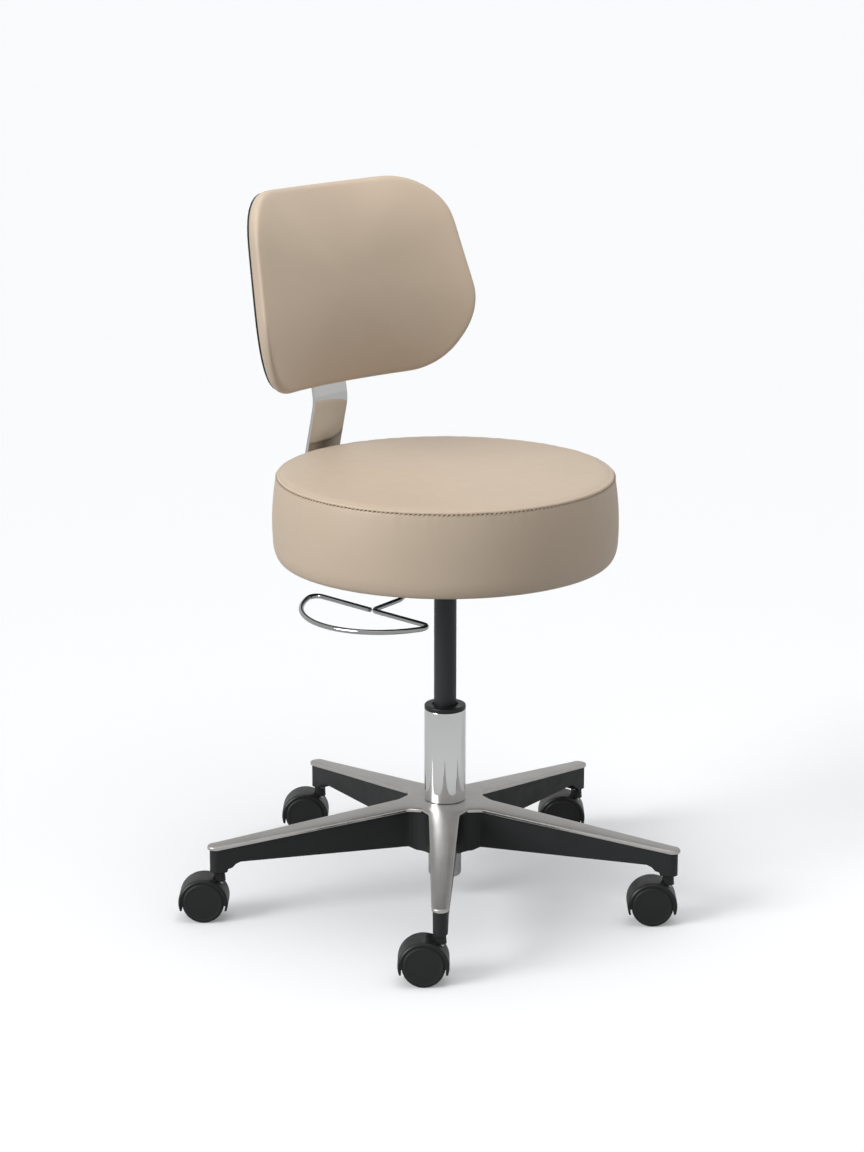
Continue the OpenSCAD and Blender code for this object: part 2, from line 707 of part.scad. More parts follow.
// Radius and centre of the loop's long outer arc, tangent to both corners
loop_cx = loop_w / 2 - loop_corner_r;
loop_arc_r = (pow(loop_corner_r, 2) - pow(loop_cx, 2) - pow(loop_corner_r - loop_depth, 2))
  / (4 * loop_corner_r - 2 * loop_depth);
loop_arc_cy = loop_depth - loop_arc_r;
loop_arc_a = atan2(loop_corner_r - loop_arc_cy, loop_cx);
function lever_route() = let (
    stem_z = loop_z + (loop_x - stem_level_x) * tan(stem_rise),
    lead = round_route([
      [-pin_x - pin_r - lug_wall - gap, 0, pin_z], [-stem_drop_x, 0, pin_z], [-stem_level_x, 0, stem_z],
      loop_at(0, 0), loop_at(loop_cx, 0)], [stem_bend_r, stem_bend_r, loop_bend_r], 6),
    front = arc_pts(loop_cx, loop_corner_r, loop_corner_r, -90, loop_arc_a, 8),
    outer = arc_pts(0, loop_arc_cy, loop_arc_r, loop_arc_a, 180 - loop_arc_a, 28),
    rear = arc_pts(-loop_cx, loop_corner_r, loop_corner_r, 180 - loop_arc_a, 270, 8))
  concat(lead, [for (i = [1:len(front) - 1]) loop_at(front[i][0], front[i][1])],
    [for (i = [1:len(outer) - 1]) loop_at(outer[i][0], outer[i][1])],
    [for (i = [1:len(rear) - 1]) loop_at(rear[i][0], rear[i][1])],
    [loop_at(-lever_r - weld_gap, 0)]);
module lever() {
  color("silver") bent_rod(lever_route(), lever_r, lever_sides, [0, 0, 1]);
}

// Half of the seat's outline, moved in by t from the outside of the cover
seat_r = seat_d / 2;
seam_r = seat_r - seam_in;
crown_power = 3;
function seat_outline(t) = let (
    low = seat_z + t, edge_top = seat_z + edge_h, seam_z = seat_z + seat_side_h,
    wide_z = seat_z + seat_wide_h, land_r = crown_land_d / 2, top_r = seam_r - t, top_z = seam_z - t,
    side = function (z) seat_r - t - seam_in * pow((z - wide_z) / (seam_z - wide_z), 2))
  concat(
    [[0, low], [side(edge_top) - edge_w, low]],
    [for (i = [1:5]) [side(edge_top) - edge_w + edge_w * sin(18 * i), edge_top - (edge_h - t) * cos(18 * i)]],
    [for (i = [1:9]) let (z = edge_top + (top_z - edge_top) * i / 9) [side(z), z]],
    [for (i = [1:9]) let (r = top_r + (land_r - top_r) * i / 10)
      [r, top_z + seat_crown * (1 - pow((r - land_r) / (top_r - land_r), crown_power))]],
    [[land_r, top_z + seat_crown], [0, top_z + seat_crown]]);

module seat_cover() {
  color([0.78, 0.7, 0.6]) difference() {
    rotate_extrude($fn = round_fn) polygon(seat_outline(0));
    rotate_extrude($fn = round_fn) polygon(seat_outline(cover_t));
    translate([0, 0, seat_z - over])
      cylinder(h = cover_t + 3 / 2 * over, r = seat_r - edge_w - hem_w, $fn = round_fn);
  }
}

module seat_foam() {
  color([0.95, 0.93, 0.85]) difference() {
    rotate_extrude($fn = round_fn) polygon(seat_outline(cover_t));
    translate([0, 0, board_z - over]) cylinder(h = board_t + over, d = board_d, $fn = round_fn);
  }
}

module seat_board() {
  color([0.8, 0.66, 0.45]) translate([0, 0, board_z]) linear_extrude(height = board_t) difference() {
    circle(d = board_d, $fn = round_fn);
    for (b = concat(seat_bolt_at(), bar_bolt_at())) translate(b) circle(d = bolt_d, $fn = 32);
  }
}

module bolt(z_face, at) {
  translate([at[0], at[1], z_face]) {
    cylinder(h = board_z + bolt_bite - z_face, d = bolt_d, $fn = 32);
    translate([0, 0, -bolt_head_h]) cylinder(h = bolt_head_h, d = bolt_head_d, $fn = 6);
  }
}
module seat_bolts() { color("dimgray") for (b = seat_bolt_at()) bolt(plate_z, b); }
module bar_bolts() { color("dimgray") for (b = bar_bolt_at()) bolt(bar_z, b); }

// Places a piece on the back, with Y = 0 on the bar's front face and Z = 0 at the back's middle
module on_back() {
  translate([0, back_y, back_z]) rotate([-back_lean, 0, 0]) children();
}
// The back's outline, grown by a scale
function back_outline(k) = [for (p = round_loop([
    [-back_top_w / 2, back_up_h], [back_top_w / 2, back_up_h], [back_w / 2, -back_wide_drop],
    [back_bottom_w / 2, -back_down_h], [-back_bottom_w / 2, -back_down_h], [-back_w / 2, -back_wide_drop]],
  [for (side = [0, 1]) each [back_corner_r, back_corner_r, back_side_r]], 8)) p * k];
// A closed outline with its long sides split, so that it can follow a curve
function split_sides(pts, longest) = let (m = len(pts))
  [for (i = [0:m - 1]) let (a = pts[i], b = pts[(i + 1) % m], n = ceil(norm(b - a) / longest))
    for (k = [0:n - 1]) a + (b - a) * k / n];
// A curved sheet of the back, from y0 to y1 at its middle
module back_sheet(y0, y1, k) {
  intersection() {
    rotate([90, 0, 0]) linear_extrude(height = 2 * back_curve_r, center = true) polygon(back_outline(k));
    difference() {
      back_drum(y1, 2 * back_w);
      back_drum(y0, 2 * (back_w + over));
      translate([0, -2 * back_curve_r, 0])
        cube([4 * back_w, 2 * back_curve_r, 2 * (back_w + over)], center = true);
    }
  }
}
// The upright drum that the back curves round, whose rear is at y
module back_drum(y, h) {
  translate([0, y - back_curve_r, 0]) cylinder(h = h, r = back_curve_r, center = true, $fn = round_fn);
}

shell_share = 0.985;
back_board_share = 0.955;
shell_y = -rest_y - shell_t;
back_board_y = shell_y - back_board_t;
module at_back_screws() {
  for (x = [-back_screw_x, back_screw_x])
    for (i = [0, 1]) translate([x, 0, back_screw_in + back_screw_step * i - back_down_h]) children();
}
module screw_hole() {
  rotate([90, 0, 0]) cylinder(h = back_curve_r, d = back_screw_d, center = true, $fn = 32);
}

module back_shell() {
  color([0.12, 0.12, 0.12]) on_back() difference() {
    union() {
      back_sheet(shell_y, -rest_y, shell_share);
      intersection() {
        translate([-rest_pad_w / 2, shell_y, -back_down_h * shell_share + rest_y])
          cube([rest_pad_w, -shell_y, bar_up_l]);
        back_drum(0, 2 * back_w);
      }
    }
    back_drum(shell_y, 2 * (back_w + over));
    at_back_screws() screw_hole();
  }
}

module back_board() {
  color([0.2, 0.18, 0.16]) on_back() difference() {
    back_sheet(back_board_y, shell_y, back_board_share);
    at_back_screws() screw_hole();
  }
}

// The padding: a stack of rings that draws in at the back, swells at the side and crowns in front
module back_pad() {
  loop = split_sides(back_outline(1), pad_facet_w);
  n = len(loop);
  curve = function (x) back_curve_r - sqrt(pow(back_curve_r, 2) - x * x);
  at = function (p, k, d) [p[0] * k, back_board_y - d - curve(p[0] * k), p[1] * k];
  side = [for (s = pad_side_shares) [s[0], s[1] * pad_t]];
  rear_k = pad_side_shares[0][0];
  front_k = pad_side_shares[len(pad_side_shares) - 1][0];
  m = len(face_shares);
  stack = concat(
    [for (f = face_shares) [f * rear_k, 0]], side,
    [for (i = [m - 1:-1:0]) let (f = face_shares[i]) [f * front_k, pad_t + pad_crown * (1 - f * f)]]);
  rows = len(stack);
  pts = concat([for (s = stack) for (p = loop) at(p, s[0], s[1])],
    [at([0, 0], 0, 0), at([0, 0], 0, pad_t + pad_crown)]);
  rear_c = rows * n;
  front_c = rows * n + 1;
  faces = concat(
    [for (j = [0:n - 1]) [rear_c, j, (j + 1) % n]],
    [for (i = [0:rows - 2]) for (j = [0:n - 1]) let (j2 = (j + 1) % n)
      each [[i * n + j, (i + 1) * n + j, (i + 1) * n + j2], [i * n + j, (i + 1) * n + j2, i * n + j2]]],
    [for (j = [0:n - 1]) [front_c, (rows - 1) * n + (j + 1) % n, (rows - 1) * n + j]]);
  color([0.78, 0.7, 0.6]) on_back() polyhedron(pts, faces);
}

module back_screws() {
  color("silver") on_back() at_back_screws() rotate([-90, 0, 0]) {
    translate([0, 0, -back_screw_l]) cylinder(h = back_screw_l + bar_t, d = back_screw_d, $fn = 32);
    translate([0, 0, bar_t]) cylinder(h = back_screw_head_h, d = back_screw_head_d, $fn = 32);
  }
}

// Side view of the bent bar, as points [y, z] along its front or top face, moved out by t
bar_top_l = bar_up_l - back_down_h;
function bar_line() = [
  [bar_y0, plate_z], [bar_foot_y, plate_z], [bar_bend_y, bar_bend_z],
  [back_y + bar_top_l * sin(back_lean), back_z + bar_top_l * cos(back_lean)]];
// The same line moved square to itself by t, to the back
function line_shift(p, t) = [for (i = [0:len(p) - 1]) let (
    a = i == 0 ? unit(p[1] - p[0]) : unit(p[i] - p[i - 1]),
    b = i == len(p) - 1 ? a : unit(p[i + 1] - p[i]),
    na = [a[1], -a[0]], nb = [b[1], -b[0]], m = unit(na + nb))
  p[i] + m * t / (m * na)];
module back_bar() {
  front = bar_line();
  rear = line_shift(front, bar_t);
  front_r = round_route(front, [bar_foot_r, bar_bend_r + bar_t], 8);
  rear_r = round_route(rear, [bar_foot_r + bar_t, bar_bend_r], 8);
  color("silver") difference() {
    rotate([90, 0, 90]) linear_extrude(height = bar_w, center = true)
      polygon(concat(front_r, [for (i = [len(rear_r) - 1:-1:0]) rear_r[i]]));
    for (b = bar_bolt_at()) translate([b[0], b[1], bar_z - over])
      cylinder(h = bar_t + 2 * over, d = bolt_d, $fn = 32);
    on_back() at_back_screws() rotate([90, 0, 0])
      cylinder(h = 4 * bar_t, d = back_screw_d, center = true, $fn = 32);
  }
}

// Steel stem that stays in the arm, and on which the caster turns
module caster_stem(k) {
  color("silver") at_caster(k) rotate_extrude($fn = 48) polygon([
    [0, stem_low_z], [stem_low_d / 2, stem_low_z], [stem_low_d / 2, stem_flange_z],
    [neck_ring_d / 2 - flange_t / 2, stem_flange_z], [neck_ring_d / 2 - flange_t / 2, socket_low_z],
    [stem_d / 2, socket_low_z], [stem_d / 2, grip_z], [stem_d / 2 - grip_t, grip_z],
    [stem_d / 2 - grip_t, grip_z + grip_h], [stem_d / 2, grip_z + grip_h],
    [stem_d / 2, socket_low_z + stem_in_l - gap], [0, socket_low_z + stem_in_l - gap]]);
}
module grip_rings() {
  color("gray") for (k = [1:arms]) at_caster(k)
    difference() {
      ring(grip_z, grip_h, stem_d / 2 - grip_t, stem_d / 2);
      translate([0, -grip_t, grip_z - over]) cube([stem_d, 2 * grip_t, grip_h + 2 * over]);
    }
}

module caster_axle(k) {
  color("silver") at_caster(k) translate([trail, 0, wheel_r]) rotate([90, 0, 0])
    cylinder(h = 2 * axle_half, d = axle_d, center = true, $fn = 32);
}

// Hood, web and neck in one moulding
module caster_hood(k) {
  color([0.11, 0.11, 0.12]) at_caster(k) difference() {
    union() {
      difference() {
        translate([trail, 0, wheel_r]) rotate([90, 0, 0]) rotate_extrude($fn = round_fn) polygon(concat(
          [[hood_in_r, -hood_half], [hood_out_r - hood_edge, -hood_half]],
          arc_pts(hood_out_r - hood_edge, hood_edge - hood_half, hood_edge, -90, 0, 4),
          arc_pts(hood_out_r - hood_edge, hood_half - hood_edge, hood_edge, 0, 90, 4),
          [[hood_in_r, hood_half]]));
        translate([trail, 0, hood_low_z - hood_out_r])
          cube([2 * (hood_out_r + over), 2 * (hood_half + over), 2 * hood_out_r], center = true);
      }
      difference() {
        translate([trail, 0, wheel_r]) rotate([90, 0, 0])
          cylinder(h = web_t, r = hood_in_r + hood_t / 2, center = true, $fn = round_fn);
        translate([trail, 0, web_low_z - hood_out_r])
          cube([2 * (hood_out_r + over), 2 * web_t, 2 * hood_out_r], center = true);
      }
      intersection() {
        translate([0, 0, neck_root_z]) cylinder(h = neck_top_z - neck_root_z, d = neck_ring_d, $fn = 48);
        difference() {
          translate([-neck_ring_d, -neck_ring_d, 0]) cube([2 * neck_ring_d, 2 * neck_ring_d, neck_top_z]);
          translate([trail, 0, wheel_r]) rotate([90, 0, 0])
            cylinder(h = 4 * neck_ring_d, r = hood_in_r, center = true, $fn = round_fn);
        }
      }
    }
    translate([0, 0, stem_low_z - gap])
      cylinder(h = neck_top_z - stem_low_z + gap + over, d = stem_low_d + 2 * run, $fn = 48);
    translate([trail, 0, wheel_r]) rotate([90, 0, 0])
      cylinder(h = 2 * web_t, d = axle_d, center = true, $fn = 32);
  }
}

module wheel(k, side) {
  color([0.1, 0.1, 0.1]) at_caster(k)
    translate([trail, side * wheel_in_y, wheel_r]) rotate([-90 * side, 0, 0])
    rotate_extrude($fn = round_fn) polygon(concat(
      [[axle_d / 2 + run, 0], [wheel_hub_r, 0], [wheel_hub_r, wheel_w - wheel_face_t],
        [wheel_r - wheel_rim_t, wheel_w - wheel_face_t], [wheel_r - wheel_rim_t, 0],
        [wheel_r - wheel_back_edge, 0], [wheel_r, wheel_back_edge]],
      arc_pts(wheel_r - wheel_edge, wheel_w - wheel_edge, wheel_edge, 0, 90, 6),
      [[0, wheel_w], [0, wheel_w - wheel_face_t], [axle_d / 2 + run, wheel_w - wheel_face_t]]));
}

star_top();
star_frame();
star_screws();
stand_tube();
guide_bush();
tube_floor();
lower_race();
bearing_balls();
grip_rings();
caster_stem(1);  // caster_stem_1
caster_stem(2);  // caster_stem_2
caster_stem(3);  // caster_stem_3
caster_stem(4);  // caster_stem_4
caster_stem(5);  // caster_stem_5
piston_rod();
piston();
upper_race();
rod_damper();
rod_washer();
rod_clip();
pressure_tube();
inner_tube();
rod_guide();
valve_body();
lift_housing();
lever_pin();
seat_board();
seat_foam();
seat_cover();
seat_bolts();
back_bar();
bar_bolts();
back_board();
back_pad();
back_shell();
back_screws();
lever();
lever_hub();
release_button();
caster_hood(1);  // caster_hood_1
caster_hood(2);  // caster_hood_2
caster_hood(3);  // caster_hood_3
caster_hood(4);  // caster_hood_4
caster_hood(5);  // caster_hood_5
caster_axle(1);  // caster_axle_1
caster_axle(2);  // caster_axle_2
caster_axle(3);  // caster_axle_3
caster_axle(4);  // caster_axle_4
caster_axle(5);  // caster_axle_5
wheel(1, 1);  // wheel_1a
wheel(1, -1);  // wheel_1b
wheel(2, 1);  // wheel_2a
wheel(2, -1);  // wheel_2b
wheel(3, 1);  // wheel_3a
wheel(3, -1);  // wheel_3b
wheel(4, 1);  // wheel_4a
wheel(4, -1);  // wheel_4b
wheel(5, 1);  // wheel_5a
wheel(5, -1);  // wheel_5b
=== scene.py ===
"""Exam stool with a back: the finished pieces, their materials, and a plain studio.

Lengths here are in millimetres, and a piece is turned to metres once, when it is made an object.
"""
import math

import bmesh
import bpy
from mathutils import Matrix, Vector, noise


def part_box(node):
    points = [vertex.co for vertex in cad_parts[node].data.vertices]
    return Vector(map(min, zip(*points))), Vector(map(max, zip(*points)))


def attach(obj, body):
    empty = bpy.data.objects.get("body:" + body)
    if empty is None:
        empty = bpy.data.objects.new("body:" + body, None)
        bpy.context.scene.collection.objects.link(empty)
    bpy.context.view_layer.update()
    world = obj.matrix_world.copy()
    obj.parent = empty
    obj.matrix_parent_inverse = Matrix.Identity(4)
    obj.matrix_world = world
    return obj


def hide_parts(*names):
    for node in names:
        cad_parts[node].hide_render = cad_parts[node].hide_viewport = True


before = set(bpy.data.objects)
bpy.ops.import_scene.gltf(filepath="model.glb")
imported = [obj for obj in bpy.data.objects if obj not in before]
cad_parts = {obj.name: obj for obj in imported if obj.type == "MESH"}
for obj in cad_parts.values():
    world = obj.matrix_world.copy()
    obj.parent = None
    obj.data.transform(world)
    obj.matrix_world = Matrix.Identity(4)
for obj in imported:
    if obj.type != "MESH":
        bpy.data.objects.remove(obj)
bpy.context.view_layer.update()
MM = 0.001
FULL = 2 * math.pi

# Seat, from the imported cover
SEAT_Z, SEAT_TOP_Z = (corner.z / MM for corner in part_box("seat_cover"))
SEAT_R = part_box("seat_cover")[1].x / MM
SEAT_SIDE_H = 99
SEAM_IN = 5
SEAT_WIDE_H = 44
EDGE_H, EDGE_W, HEM_W = 25, 10.5, 38
SEAM_R = SEAT_R - SEAM_IN
SEAM_Z = SEAT_Z + SEAT_SIDE_H
CROWN = SEAT_TOP_Z - SEAM_Z - 6.5
PUFF, PUFF_W = 5, 12
STITCH_PITCH, STITCH_L, STITCH_T = 5.4, 2.8, 1.9

# Back
BACK_Y, BACK_Z, BACK_LEAN = 219.5, 731, math.radians(9.2)
BACK_CURVE_R = 239
SHELL_T, BACK_BOARD_T, REST_Y = 3, 6, 1
PAD_T, PAD_CROWN, BACK_EDGE_T, BACK_FACE = 35, 5, 22, 0.95

# Star base
ARMS, FIRST_TURN = 5, math.radians(8)
ARM_STEP = FULL / ARMS
CASTER_R, TIP_OUT, TIP_R = 282, 4, 10
TIP_C = CASTER_R + TIP_OUT
ROOT_W, ROOT_R, CROTCH_R = 37, 57, 22
HUB_TOP_Z, HUB_FLAT_R, TIP_TOP_Z, CAP_T = 124.5, 42, 93, 6
CAP_FALL = (HUB_TOP_Z - TIP_TOP_Z) / (TIP_C + TIP_R - HUB_FLAT_R)
TAPER = math.atan2(ROOT_W / 2 - TIP_R, TIP_C - ROOT_R)
HUB_SHARE, ARC_SHARE = 0.1, 0.42

# Column
TUBE_R, TUBE_WALL, TUBE_TOP_Z, TUBE_LOW_Z, NECK_R = 25, 2, 239, 27.5, 20
COLLAR_H, BUSH_L, LIFT_R, RUN = 5.5, 70, 13.5, 0.06

# Release lever
ROD_R = 3

# Casters
WHEEL_R, WHEEL_W, WEB_T, TRAIL, CASTER_TURN = 25, 15, 5, 19, math.radians(135)
HOOD_IN_R, HOOD_OUT_R, HOOD_LOW_Z = 27, 30, 15
WHEEL_IN_Y = WEB_T / 2 + 1
HOOD_HALF = WHEEL_IN_Y + WHEEL_W + 0.5
AXLE_R, STEM_R, NECK_RING_R = 3, 4.15, 6.9
NECK_TOP_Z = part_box("caster_hood_1")[1].z / MM
NECK_LOW_Z = WHEEL_R + math.sqrt(HOOD_IN_R ** 2 - (TRAIL - NECK_RING_R) ** 2) - 0.5


# Making pieces


def finish_piece(bm, name, body, nodes=(), smooth=40, materials=()):
    """Turns a bmesh in millimetres into an object in metres that rides on a body."""
    bmesh.ops.scale(bm, vec=(MM, MM, MM), verts=bm.verts)
    mesh = bpy.data.meshes.new(name)
    bm.to_mesh(mesh)
    bm.free()
    mesh.shade_smooth()
    mesh.set_sharp_from_angle(angle=math.radians(smooth))
    piece = bpy.data.objects.new(name, mesh)
    bpy.context.scene.collection.objects.link(piece)
    for material in materials:
        mesh.materials.append(material)
    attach(piece, body)
    if nodes:
        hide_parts(*nodes)
    return piece


def apply_modifiers(piece):
    """Leaves the piece as a plain mesh with its modifiers' shape."""
    bpy.context.view_layer.objects.active = piece
    for modifier in list(piece.modifiers):
        with bpy.context.temp_override(object=piece, active_object=piece):
            bpy.ops.object.modifier_apply(modifier=modifier.name)
    return piece


def subdivided(piece, levels=2):
    modifier = piece.modifiers.new("smooth_skin", "SUBSURF")
    modifier.levels = levels
    modifier.render_levels = levels
    return apply_modifiers(piece)


def open_profile(bm, points):
    """A chain of edges through (r, z) points, standing in the XZ plane."""
    verts = [bm.verts.new((r, 0, z)) for r, z in points]
    return verts + [bm.edges.new(pair) for pair in zip(verts, verts[1:])]


def turned(points, steps=96, closed=False):
    """A shape turned on the Z axis from a profile of (r, z) points."""
    bm = bmesh.new()
    loop = list(points) + ([points[0]] if closed else [])
    bmesh.ops.spin(bm, geom=open_profile(bm, loop), cent=(0, 0, 0), axis=(0, 0, 1), angle=FULL,
                   steps=steps, use_merge=True)
    bmesh.ops.remove_doubles(bm, verts=bm.verts, dist=1e-4)
    bmesh.ops.recalc_face_normals(bm, faces=bm.faces)
    return bm


def arc(cx, cz, radius, start, end, steps):
    """Points of an arc from start to end, in degrees."""
    return [(cx + radius * math.cos(math.radians(start + (end - start) * i / steps)),
             cz + radius * math.sin(math.radians(start + (end - start) * i / steps)))
            for i in range(steps + 1)]


def rounded_chain(points, radius, steps=4, closed=True):
    """The outline with each corner rounded. A radius of zero in a list keeps that corner."""
    count = len(points)
    radii = radius if isinstance(radius, (list, tuple)) else [radius] * count
    result = []
    for i, corner in enumerate(points):
        if not closed and i in (0, count - 1) or not radii[i]:
            result.append(corner)
            continue
        here = Vector(corner)
        before = (Vector(points[i - 1]) - here)
        after = (Vector(points[(i + 1) % count]) - here)
        u, v = before.normalized(), after.normalized()
        half = u.angle(v) / 2
        reach = min(radii[i] / math.tan(half), before.length * 0.49, after.length * 0.49)
        r = reach * math.tan(half)
        centre = here + (u + v).normalized() * r / math.sin(half)
        first, last = here + u * reach - centre, here + v * reach - centre
        turn = math.pi - 2 * half
        for k in range(steps + 1):
            t = k / steps
            swept = first * math.sin(turn * (1 - t)) + last * math.sin(turn * t)
            result.append(tuple(centre + swept / math.sin(turn)))
    return result


def extruded(bm, edges):
    """Extrudes edges in place, and returns the new vertices, outline and faces."""
    made = bmesh.ops.extrude_edge_only(bm, edges=edges)["geom"]
    verts = {v for v in made if isinstance(v, bmesh.types.BMVert)}
    faces = [f for f in made if isinstance(f, bmesh.types.BMFace)]
    outline = [e for e in made if isinstance(e, bmesh.types.BMEdge) and all(v in verts for v in e.verts)]
    return verts, outline, faces


def grown_from(vert, new):
    """The new vertex that was extruded from this one."""
    return next(e.other_vert(vert) for e in vert.link_edges if e.other_vert(vert) in new)


def smoothstep(low, high, x):
    t = min(max((x - low) / (high - low), 0), 1)
    return t * t * (3 - 2 * t)


# Materials


class Finish:
    """A material and the few node calls that its recipe needs."""

    def __init__(self, name, **sockets):
        self.material = bpy.data.materials.new(name)
        self.material.use_nodes = True
        self.tree = self.material.node_tree
        self.shader = self.tree.nodes["Principled BSDF"]
        self.set(**sockets)
        self.place = self.node("ShaderNodeTexCoord").outputs["Object"]

    def set(self, **sockets):
        for name, value in sockets.items():
            self.shader.inputs[name.replace("_", " ")].default_value = value

    def node(self, kind, inputs=(), **settings):
        made = self.tree.nodes.new(kind)
        for key, value in settings.items():
            setattr(made, key, value)
        for key, value in dict(inputs).items():
            if isinstance(value, bpy.types.NodeSocket):
                self.tree.links.new(value, made.inputs[key])
            else:
                made.inputs[key].default_value = value
        return made

    def noise(self, scale, detail=3, vector=None, roughness=0.5):
        return self.node("ShaderNodeTexNoise", {
            "Vector": vector or self.place, "Scale": scale, "Detail": detail, "Roughness": roughness}
        ).outputs["Fac"]

    def spread(self, fac, low, high, to_low, to_high):
        """A value between to_low and to_high as fac goes from low to high."""
        return self.node("ShaderNodeMapRange", {
            "Value": fac, "From Min": low, "From Max": high, "To Min": to_low, "To Max": to_high}
        ).outputs["Result"]

    def blend(self, fac, first, second):
        made = self.node("ShaderNodeMix", data_type="RGBA")
        for socket, value in ((made.inputs[0], fac), (made.inputs[6], first), (made.inputs[7], second)):
            if isinstance(value, bpy.types.NodeSocket):
                self.tree.links.new(value, socket)
            else:
                socket.default_value = value
        return made.outputs[2]

    def drive(self, socket, output):
        self.tree.links.new(output, self.shader.inputs[socket])

    def bump(self, height, strength, distance, normal=None):
        inputs = {"Height": height, "Strength": strength, "Distance": distance}
        if normal is not None:
            inputs["Normal"] = normal
        return self.node("ShaderNodeBump", inputs).outputs["Normal"]


def rgb(r, g, b):
    return (r, g, b, 1)


def shade(tone, share):
    """A tone made darker or lighter."""
    return rgb(*[c * share for c in tone])


def vinyl():
    """Smooth upholstery vinyl with a very fine grain."""
    f = Finish("beige_vinyl", Roughness=0.46, Specular_IOR_Level=0.34)
    patches = f.spread(f.noise(9, 2), 0.3, 0.7, 0, 1)
    f.drive("Base Color", f.blend(patches, rgb(0.5, 0.405, 0.31), rgb(0.52, 0.42, 0.322)))
    f.drive("Roughness", f.spread(f.noise(60, 3), 0.3, 0.7, 0.43, 0.5))
    pebble = f.node("ShaderNodeTexVoronoi", {"Vector": f.place, "Scale": 1250.0}, feature="SMOOTH_F1")
    grain = f.bump(pebble.outputs["Distance"], 0.1, 0.0002)
    f.drive("Normal", f.bump(f.noise(420, 3), 0.06, 0.0004, grain))
    return f.material


def thread():
    f = Finish("seam_thread", Roughness=0.6)
    f.drive("Base Color", f.blend(f.noise(900, 2), rgb(0.44, 0.355, 0.27), rgb(0.52, 0.42, 0.32)))
    return f.material


def radial_brushing(f, fine, along):
    """Fine lines that run out from the column, as brushing along the arms does."""
    spin = f.node("ShaderNodeTexGradient", {"Vector": f.place}, gradient_type="RADIAL").outputs["Fac"]
    out = f.node("ShaderNodeVectorMath", {0: f.place}, operation="LENGTH").outputs["Value"]
    across = f.node("ShaderNodeMath", {0: spin, 1: fine}, operation="MULTIPLY").outputs[0]
    down = f.node("ShaderNodeMath", {0: out, 1: along}, operation="MULTIPLY").outputs[0]
    lines = f.node("ShaderNodeCombineXYZ", {"X": across, "Y": down}).outputs[0]
    return f.noise(1, 3, lines)


def satin_aluminium():
    """Cast aluminium with a brushed satin face."""
    f = Finish("satin_aluminium", Metallic=1.0, Roughness=0.36)
    lines = radial_brushing(f, 900, 14)
    cloud = f.noise(26, 4)
    base = f.blend(f.spread(cloud, 0.3, 0.7, 0, 1), rgb(0.4, 0.39, 0.375), rgb(0.47, 0.46, 0.445))
    f.drive("Base Color", f.blend(f.spread(lines, 0.3, 0.7, 0, 0.35), base, rgb(0.6, 0.59, 0.57)))
    f.drive("Roughness", f.spread(lines, 0.25, 0.75, 0.3, 0.44))
    fine = f.bump(f.noise(1500, 2), 0.12, 0.0001)
    f.drive("Normal", f.bump(lines, 0.12, 0.0002, fine))
    return f.material


def polished_aluminium():
    f = Finish("polished_aluminium", Metallic=1.0, Roughness=0.18)
    f.drive("Base Color", f.blend(f.noise(60, 3), rgb(0.5, 0.49, 0.475), rgb(0.62, 0.61, 0.59)))
    f.drive("Roughness", f.spread(f.noise(240, 3), 0.3, 0.7, 0.13, 0.26))
    return f.material


def chrome(name, tone, roughness):
    f = Finish(name, Metallic=1.0, Roughness=roughness, Base_Color=rgb(*tone))
    f.drive("Roughness", f.spread(f.noise(35, 4), 0.35, 0.75, roughness, roughness + 0.025))
    return f.material


def moulded_black(name, tone, low, high, grain=900.0):
    """Moulded plastic or paint: a fine even grain and slightly uneven sheen."""
    f = Finish(name, Specular_IOR_Level=0.38)
    f.drive("Base Color", f.blend(f.noise(40, 3), shade(tone, 0.9), shade(tone, 1.12)))
    f.drive("Roughness", f.spread(f.noise(55, 4), 0.3, 0.7, low, high))
    f.drive("Normal", f.bump(f.noise(grain, 2), 0.14, 0.00015))
    return f.material


def plain_steel():
    f = Finish("plain_steel", Metallic=1.0, Roughness=0.35)
    f.drive("Base Color", f.blend(f.noise(90, 3), rgb(0.42, 0.42, 0.42), rgb(0.56, 0.56, 0.55)))
    f.drive("Roughness", f.spread(f.noise(160, 3), 0.3, 0.7, 0.28, 0.45))
    return f.material


def plywood(name, dark, light):
    f = Finish(name, Roughness=0.7)
    stretched = f.node("ShaderNodeMapping", {"Vector": f.place, "Scale": (8, 120, 60)}).outputs[0]
    figure = f.spread(f.noise(1.6, 5, stretched), 0.3, 0.7, 0, 1)
    f.drive("Base Color", f.blend(figure, rgb(*dark), rgb(*light)))
    f.drive("Normal", f.bump(f.noise(3, 5, stretched), 0.2, 0.0004))
    return f.material


def soft_plastic(name, tone, roughness):
    f = Finish(name, Roughness=roughness)
    f.drive("Base Color", f.blend(f.noise(50, 2), shade(tone, 0.94), rgb(*tone)))
    return f.material


def woven_cloth():
    """The thin black cloth that closes the seat's underside."""
    f = Finish("black_dust_cloth", Roughness=0.85, Specular_IOR_Level=0.2)
    warp, weft = [f.node("ShaderNodeTexWave", {"Vector": f.place, "Scale": 420.0}, bands_direction=way)
                  for way in ("X", "Y")]
    weave = f.node("ShaderNodeMath", {0: warp.outputs["Fac"], 1: weft.outputs["Fac"]},
                   operation="MULTIPLY").outputs[0]
    f.drive("Base Color", f.blend(weave, rgb(0.008, 0.008, 0.009), rgb(0.018, 0.018, 0.019)))
    f.drive("Normal", f.bump(weave, 0.2, 0.0002))
    return f.material


